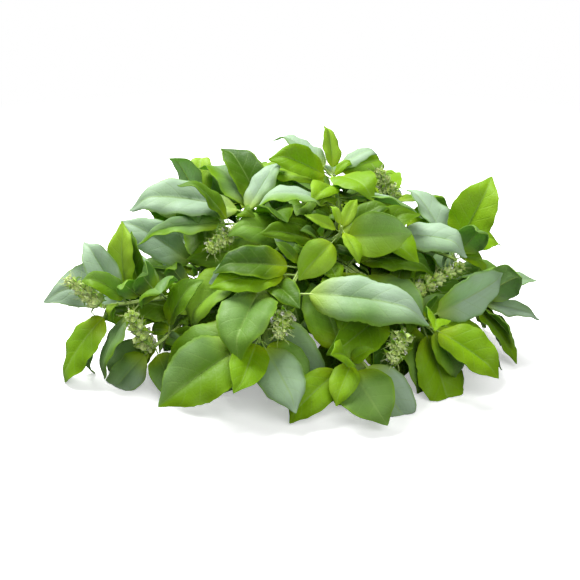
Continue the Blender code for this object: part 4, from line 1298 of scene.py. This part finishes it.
def blade_colour(tree, under, vein, spots, shades):
    """Colour of a blade: mottled green with painted shade and painted light, its bloom with a painted
    sheen, its foot with a painted glow, and its veins.
    """
    tones = bpy.context.scene.scent_leaf_colours
    pale, glow, deep, painted_light_side = shades
    # painted light: one side of the blade, across and along it, is paler with painted sheen and glows less
    # than the other
    aside, turns, length = LIT_SIDE_TILT
    across = tree.times(vein["Across"], tree.times(painted_light_side, aside))
    along = tree.times(vein["Along"], tree.math("SINE", tree.times(painted_light_side, turns)))
    tilt = tree.math("ADD", across, tree.times(along, length))
    glow = tree.math("SUBTRACT", glow, tree.times(tilt, LIT_SIDE_GLOW))
    # mid green with random patches, painted shade for deep leaves, young yellow and painted light through
    # the blade, and painted light through the margin
    green = tree.coats(rgba(tones.mid), (
        (spots["Patches"], tones.fresh),
        (tree.times(deep, DEEP_SHADE_SHARE, clamp=True), tones.deep),
        (tree.times(glow, GLOW_SHARE, clamp=True), tones.bright),
        (tree.span(glow, *YOUNG_RISE), tones.young),
        (tree.times(vein["Margin"], MARGIN_GLOW_SHARE), tones.bright),
    ))
    # the pale bloom with a painted sheen over it, less at the margin
    even, by_tilt, by_cloud = BLOOM_SHEEN_REACH
    reach = tree.math("MULTIPLY_ADD", tilt, by_tilt, even)
    reach = tree.math("MULTIPLY_ADD", spots["Cloud"], by_cloud, reach)
    cover = tree.span(tree.times(pale, reach), *BLOOM_SHEEN_EDGE, kind="LINEAR")
    bloom_and_sheen = tree.times(cover, tree.math("SUBTRACT", 1.0, tree.times(vein["Margin"], BARE_MARGIN)))
    if under:
        bloom_and_sheen = tree.math("MULTIPLY_ADD", bloom_and_sheen, *UNDER_BLOOM_SHEEN, clamp=True)
    # painted glow of light through the blade at its foot
    foot = tree.span(vein["Along"], *FOOT_GLOW_REACH)
    colour = tree.coats(green, ((bloom_and_sheen, tones.bloom_and_sheen), (foot, tones.foot)))
    darker = tree.mix(STREAK_DARK, colour, rgba(tones.deep))
    colour = tree.mix(tree.times(vein["Streaks"], STREAK_SHARE), colour, darker)
    veins, midrib = tree.times(vein["Veins"], VEIN_SHARE), tree.times(vein["Midrib"], MIDRIB_SHARE)
    return tree.mix(tree.math("MAXIMUM", veins, midrib), colour, rgba(tones.vein))


def blade_material(name, under):
    """Upper or under side of a blade, with light that passes through."""
    made, tree = new_material(name)
    shades = [tree.node("Attribute", attribute_name=label)["Fac"] for label in SHADE_LAYERS]
    width, vein_height, net_height = UNDER_SIDE if under else UPPER_SIDE
    vein = veins_at(tree, width, shades[0])
    spots = mottle_at(tree)
    colour = blade_colour(tree, under, vein, spots, shades)
    high = tree.times(vein["Veins"], vein_height)
    high = tree.math("ADD", high, tree.times(spots["Net"], net_height))
    high = tree.math("ADD", high, tree.times(vein["Streaks"], STREAK_HEIGHT))
    bump = tree.bump(high, *BLADE_BUMP)
    rough = tree.span(spots["Mottle"], 0.0, 1.0, *BLADE_ROUGHNESS)
    surface = tree.node("BsdfPrincipled", {
        "Base Color": colour, "Roughness": rough, "Normal": bump,
        "Specular IOR Level": 0.20, "Sheen Weight": 0.04, "Sheen Roughness": 0.5,
        "Sheen Tint": (0.8, 1.0, 0.6, 1.0),
    })[0]
    through = tree.mix(THROUGH_TINT, colour, rgba(bpy.context.scene.scent_leaf_colours.through))
    glowing = tree.node("BsdfTranslucent", {"Color": through, "Normal": bump})[0]
    tree.node("OutputMaterial", {"Surface": tree.both(THROUGH_SHARE, surface, glowing)})
    return made


def stalk_material(name, first, second, patches=60.0):
    """Stems, stalks, midribs and calyces: pale green with lengthwise streaks and soft hairiness."""
    made, tree = new_material(name)
    spots = mottle_at(tree, patches, STALK_NET)
    stretched = tree.node("Mapping", {"Vector": tree.node("UVMap")[0], "Scale": STALK_STRETCH})[0]
    streaks = tree.span(tree.noise(stretched, 1.0, 2.0), *STALK_EDGE)
    streaked = (tree.times(streaks, STALK_STREAKS), [STALK_DARK * x for x in first])
    colour = tree.coats(rgba(first), ((spots["Patches"], second), streaked))
    bump = tree.bump(tree.math("ADD", streaks, tree.times(spots["Mottle"], 0.6)), *STALK_BUMP)
    rough = tree.span(spots["Mottle"], 0.0, 1.0, *STALK_ROUGHNESS)
    surface = tree.node("BsdfPrincipled", {
        "Base Color": colour, "Roughness": rough, "Normal": bump,
        "Subsurface Weight": 0.15, "Subsurface Radius": (0.3, 0.5, 0.1), "Subsurface Scale": 0.001,
        "Sheen Weight": 0.4, "Sheen Roughness": 0.4, "Sheen Tint": (0.9, 1.0, 0.85, 1.0),
    })[0]
    tree.node("OutputMaterial", {"Surface": surface})
    return made


def petal_material():
    """Thin whitish petals with a breath of green in patches."""
    made, tree = new_material("petal_white")
    patches = mottle_at(tree, 300.0)["Patches"]
    colour = tree.mix(patches, (0.72, 0.74, 0.62, 1.0), (0.86, 0.85, 0.80, 1.0))
    surface = tree.node("BsdfPrincipled", {"Base Color": colour, "Roughness": 0.6})[0]
    glowing = tree.node("BsdfTranslucent", {"Color": colour})[0]
    tree.node("OutputMaterial", {"Surface": tree.both(0.3, surface, glowing)})
    return made


def pith_material():
    """The cut end of the stem: pale pith, drying here and there."""
    made, tree = new_material("pith")
    spots = mottle_at(tree, 900.0, 2600.0)
    colour = tree.coats((0.62, 0.66, 0.38, 1.0), (
        (spots["Patches"], (0.48, 0.46, 0.24)),
        (tree.times(spots["Net"], 0.5), (0.30, 0.30, 0.12)),
    ))
    bump = tree.bump(spots["Net"], 0.4, 0.0002)
    surface = tree.node("BsdfPrincipled", {"Base Color": colour, "Roughness": 0.7, "Normal": bump})[0]
    tree.node("OutputMaterial", {"Surface": surface})
    return made


def floor_material():
    """A plain pale floor that fades to white and throws little light back up under the leaves."""
    settings = bpy.context.scene.scent_leaf_stage
    made, tree = new_material("pale_floor")
    place = tree.node("TexCoord")["Object"]
    dimmer = rgba([0.985 * x for x in settings.floor])
    colour = tree.mix(tree.noise(place, 6.0, 3.0), dimmer, rgba(settings.floor))
    surface = tree.node("BsdfPrincipled", {"Base Color": colour, "Roughness": 0.8})[0]
    lift = tree.node("Emission", {"Color": WHITE, "Strength": settings.lift})[0]
    seen = tree.node("AddShader", {0: surface, 1: lift})[0]
    away = tree.node("VectorMath", {0: place}, operation="LENGTH")["Value"]
    seen = tree.both(tree.span(away, *FLOOR_FADE), seen, tree.node("Emission", {"Color": WHITE})[0])
    dull = tree.node("BsdfDiffuse", {"Color": rgba([settings.bounce] * 3)})[0]
    camera_ray = tree.node("LightPath")["Is Camera Ray"]
    tree.node("OutputMaterial", {"Surface": tree.both(camera_ray, dull, seen)})
    return made


def leaf_finishes():
    """The blade's two sides and the stems, made once."""
    tones = bpy.context.scene.scent_leaf_colours
    if "blade_upper" not in bpy.data.materials:
        blade_material("blade_upper", False)
        blade_material("blade_under", True)
        stalk_material("stem_green", tones.stem, tones.stem_light)
    return [bpy.data.materials[name] for name in ("blade_upper", "blade_under", "stem_green")]


# Settings


def length_property(name, description, default, low, high):
    return FloatProperty(
        name=name, description=description, default=default, min=low, max=high, unit="LENGTH", precision=5
    )


def tone_property(name, description, default):
    return FloatVectorProperty(
        name=name, description=description, default=default, size=3, min=0, max=1, subtype="COLOR"
    )


def turn_property(name, description, default):
    return FloatProperty(name=name, description=description, default=default, unit="ROTATION")


def plain_property(name, description, default, low=0.0, unit="NONE"):
    return FloatProperty(name=name, description=description, default=default, min=low, unit=unit)


class ScentLeafBlades(bpy.types.PropertyGroup):
    thickness: length_property(
        "Blade thickness", "Thickness of a fine blade", FINE_THICKNESS * MM, 0.0001, 0.0007
    )
    quilting: length_property(
        "Quilting", "How far the blade stands up between its side veins", 0.00024, 0.0, 0.001
    )
    ruffle: length_property("Ruffle", "Height of the waves along the margin", 0.0008, 0.0, 0.003)


class ScentLeafColours(bpy.types.PropertyGroup):
    # painted shade: the green of leaves deep in the heap, which also darkens the streaks
    deep: tone_property("Deep green", "Leaves deep in the heap", (0.008, 0.048, 0.0))
    mid: tone_property("Mid green", "Common leaf colour", (0.105, 0.265, 0.002))
    fresh: tone_property("Fresh green", "Patches of the common leaf colour", (0.175, 0.375, 0.006))
    # painted light: bright green of light through a blade and its margin, and the green of young leaves
    bright: tone_property("Bright green", "Young and sunlit leaves", (0.260, 0.470, 0.002))
    young: tone_property("Young green", "Leaves of the young tip", (0.350, 0.550, 0.040))
    # painted glow of light through a blade at its foot
    foot: tone_property("Leaf foot", "Where a blade meets its stalk", (0.380, 0.540, 0.004))
    # pale bloom with a painted sheen
    bloom_and_sheen: tone_property("Bloom", "Pale cover of the blades", (0.445, 0.590, 0.430))
    vein: tone_property("Veins", "Midrib and side veins", (0.330, 0.500, 0.120))
    through: tone_property("Light through", "Light that passes through a blade", (0.380, 0.720, 0.004))
    stem: tone_property("Stem", "Stems and stalks", (0.260, 0.430, 0.050))
    stem_light: tone_property("Light stem", "Patches of the stems", (0.400, 0.560, 0.120))
    cup: tone_property("Calyx", "Flower cups", (0.470, 0.640, 0.110))
    cup_light: tone_property("Light calyx", "Patches of the flower cups", (0.740, 0.860, 0.380))


class ScentLeafStage(bpy.types.PropertyGroup):
    azimuth: turn_property("Azimuth", "Direction of the camera round the plant", 0.0)
    elevation: turn_property("Elevation", "Camera height above the horizon", math.radians(22))
    distance: plain_property("Distance", "Camera distance", 0.541, 0.1, "LENGTH")
    lens: plain_property("Lens", "Focal length in millimetres", 70.0, 10.0)
    floor: tone_property("Floor", "Colour of the floor", (0.93, 0.93, 0.93))
    sky: plain_property("Sky", "Strength of the even light all round", 0.18)
    bounce: plain_property("Bounce", "Light that the floor throws back at the plant", 0.20)
    lift: plain_property("Lift", "How much brighter the floor's shadows look", 0.38)


# Stage
VIEW_TARGET = SIGHT_TO * MM - ORIGIN
FLOOR_SIZE = 6.0  # half its width
FLOOR_DROP = 0.0002  # how far it lies under the plant
FLOOR_FADE = (0.22, 0.6)  # between these distances from the middle the floor turns plain white
LAMPS = (  # name, place, width and watts
    ("key_light", (-0.45, 0.50, 1.15), 0.8, 44.0),
    ("front_light", (0.40, -1.1, 0.9), 0.9, 14.0),
)


def place_facing(name, data, place):
    """A new object at a place that faces the middle of the plant."""
    item = bpy.data.objects.new(name, data)
    item.location = place
    item.rotation_euler = (VIEW_TARGET - Vector(place)).to_track_quat("-Z", "Y").to_euler()
    bpy.context.scene.collection.objects.link(item)
    return item


def add_world(strength):
    """Even light all round, white where the camera sees it."""
    world = bpy.data.worlds.new("studio")
    bpy.context.scene.world = world
    world.use_nodes = True
    tree = Tree(world.node_tree)
    camera_ray = tree.node("LightPath")["Is Camera Ray"]
    background = world.node_tree.nodes["Background"].inputs
    tree.feed(background["Color"], WHITE)
    tree.feed(background["Strength"], tree.math("MULTIPLY_ADD", camera_ray, 1.0 - strength, strength))


def add_camera(settings):
    """The camera at the photograph's viewing angle."""
    camera = bpy.data.cameras.new("camera")
    camera.lens = settings.lens
    camera.sensor_width = 36
    camera.clip_start = 0.01
    a, e = settings.azimuth, settings.elevation
    back = Vector((math.sin(a) * math.cos(e), -math.cos(a) * math.cos(e), math.sin(e)))
    place = VIEW_TARGET + back * settings.distance
    bpy.context.scene.camera = place_facing("camera", camera, place)


# Operators, one for each piece or group and one for the stage


def declare(item, node=None):
    """Says which body a piece rides on and which node it replaces."""
    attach(item, "root")
    if node:
        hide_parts(node)


class SCENTLEAF_OT_main_stem(bpy.types.Operator):
    """Builds the main stem with its own leaves"""

    bl_idname = "scent_leaf.main_stem"
    bl_label = "Main stem"

    def execute(self, context):
        routes, leaves = plant()
        item = leafy_piece("leafy_main_stem", routes["main"], MAIN_RADIUS, leaves["main"], SUNK["main"])
        declare(item, "main_stem")
        return {"FINISHED"}


class SCENTLEAF_OT_branches(bpy.types.Operator):
    """Builds every side branch with its leaves"""

    bl_idname = "scent_leaf.branches"
    bl_label = "Branches"

    def execute(self, context):
        routes, leaves = plant()
        for name in BRANCHES:
            item = leafy_piece("leafy_" + name, routes[name], BRANCH_RADIUS, leaves[name], SUNK["branch"])
            declare(item, "branch_" + name)
        return {"FINISHED"}


class SCENTLEAF_OT_young_tip(bpy.types.Operator):
    """Builds the bright young tip of the main stem"""

    bl_idname = "scent_leaf.young_tip"
    bl_label = "Young tip"

    def execute(self, context):
        routes, leaves = plant()
        item = leafy_piece("leafy_young_tip", routes["tip"], TIP_RADIUS, leaves["tip"], SUNK["tip"])
        declare(item, "young_tip")
        return {"FINISHED"}


class SCENTLEAF_OT_flower_spikes(bpy.types.Operator):
    """Builds the flower spikes at the branch ends"""

    bl_idname = "scent_leaf.flower_spikes"
    bl_label = "Flower spikes"

    def execute(self, context):
        routes, _ = plant()
        tones = context.scene.scent_leaf_colours
        cups = stalk_material("calyx_green", tones.cup, tones.cup_light, 260.0)
        finishes = [*leaf_finishes()[:2], cups, petal_material()]
        for name, branch in BRANCHES.items():
            if branch.spike:
                item = spike_piece("flowers_" + name, spike_route(routes[name], branch.spike), finishes)
                declare(item, "spike_" + name)
        return {"FINISHED"}


class SCENTLEAF_OT_cut_end(bpy.types.Operator):
    """Builds the pith at the cut end of the main stem"""

    bl_idname = "scent_leaf.cut_end"
    bl_label = "Cut end"

    def execute(self, context):
        routes, _ = plant()
        inner, outer, depth, length = CUT_FACE
        along = routes["main"].direction(0)
        radius = MAIN_RADIUS[0] * inner * MM
        foot = routes["main"].at(0) + along * depth * MM
        stations = [(foot, -along, UP, radius), (foot - along * length * MM, -along, UP, radius * outer)]
        sheet = new_sheet()
        add_tube(sheet, stations, STEM_SIDES, square_stem)
        item = new_piece("cut_face", sheet, [pith_material()])
        finish_mesh(item)
        declare(item)
        return {"FINISHED"}


class SCENTLEAF_OT_stage(bpy.types.Operator):
    """Sets the pale floor, the soft light and the camera"""

    bl_idname = "scent_leaf.stage"
    bl_label = "Stage"

    def execute(self, context):
        settings = context.scene.scent_leaf_stage
        sheet = bmesh.new()
        bmesh.ops.create_grid(sheet, x_segments=1, y_segments=1, size=FLOOR_SIZE)
        bmesh.ops.translate(sheet, verts=sheet.verts, vec=(0, 0, -FLOOR_DROP))
        new_piece("floor", sheet, [floor_material()])
        for name, place, size, power in LAMPS:
            lamp = bpy.data.lights.new(name, "AREA")
            lamp.size = size
            lamp.energy = power
            place_facing(name, lamp, place)
        add_world(settings.sky)
        add_camera(settings)
        context.scene.view_settings.view_transform = "Standard"
        return {"FINISHED"}


class SCENTLEAF_PT_panel(bpy.types.Panel):
    """Lists the settings and the operators"""

    bl_label = "Scent leaf"
    bl_idname = "SCENTLEAF_PT_panel"
    bl_space_type = "VIEW_3D"
    bl_region_type = "UI"
    bl_category = "Scent leaf"

    def draw(self, context):
        for name in GROUPS:
            group = getattr(context.scene, name)
            for key in group.bl_rna.properties.keys():
                if key not in ("rna_type", "name"):
                    self.layout.prop(group, key)
        for operator in OPERATORS:
            self.layout.operator(operator.bl_idname)


OPERATORS = (
    SCENTLEAF_OT_main_stem, SCENTLEAF_OT_branches, SCENTLEAF_OT_young_tip, SCENTLEAF_OT_flower_spikes,
    SCENTLEAF_OT_cut_end, SCENTLEAF_OT_stage,
)
GROUPS = {
    "scent_leaf_blades": ScentLeafBlades,
    "scent_leaf_colours": ScentLeafColours,
    "scent_leaf_stage": ScentLeafStage,
}
CLASSES = (*GROUPS.values(), *OPERATORS, SCENTLEAF_PT_panel)


def register():
    for kind in CLASSES:
        bpy.utils.register_class(kind)
    for name, kind in GROUPS.items():
        setattr(bpy.types.Scene, name, PointerProperty(type=kind))


def unregister():
    for name in GROUPS:
        delattr(bpy.types.Scene, name)
    for kind in reversed(CLASSES):
        bpy.utils.unregister_class(kind)


def main():
    register()
    bpy.ops.scent_leaf.main_stem()
    bpy.ops.scent_leaf.branches()
    bpy.ops.scent_leaf.young_tip()
    bpy.ops.scent_leaf.flower_spikes()
    bpy.ops.scent_leaf.cut_end()
    bpy.ops.scent_leaf.stage()
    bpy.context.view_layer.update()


if __name__ == "__main__":
    main()
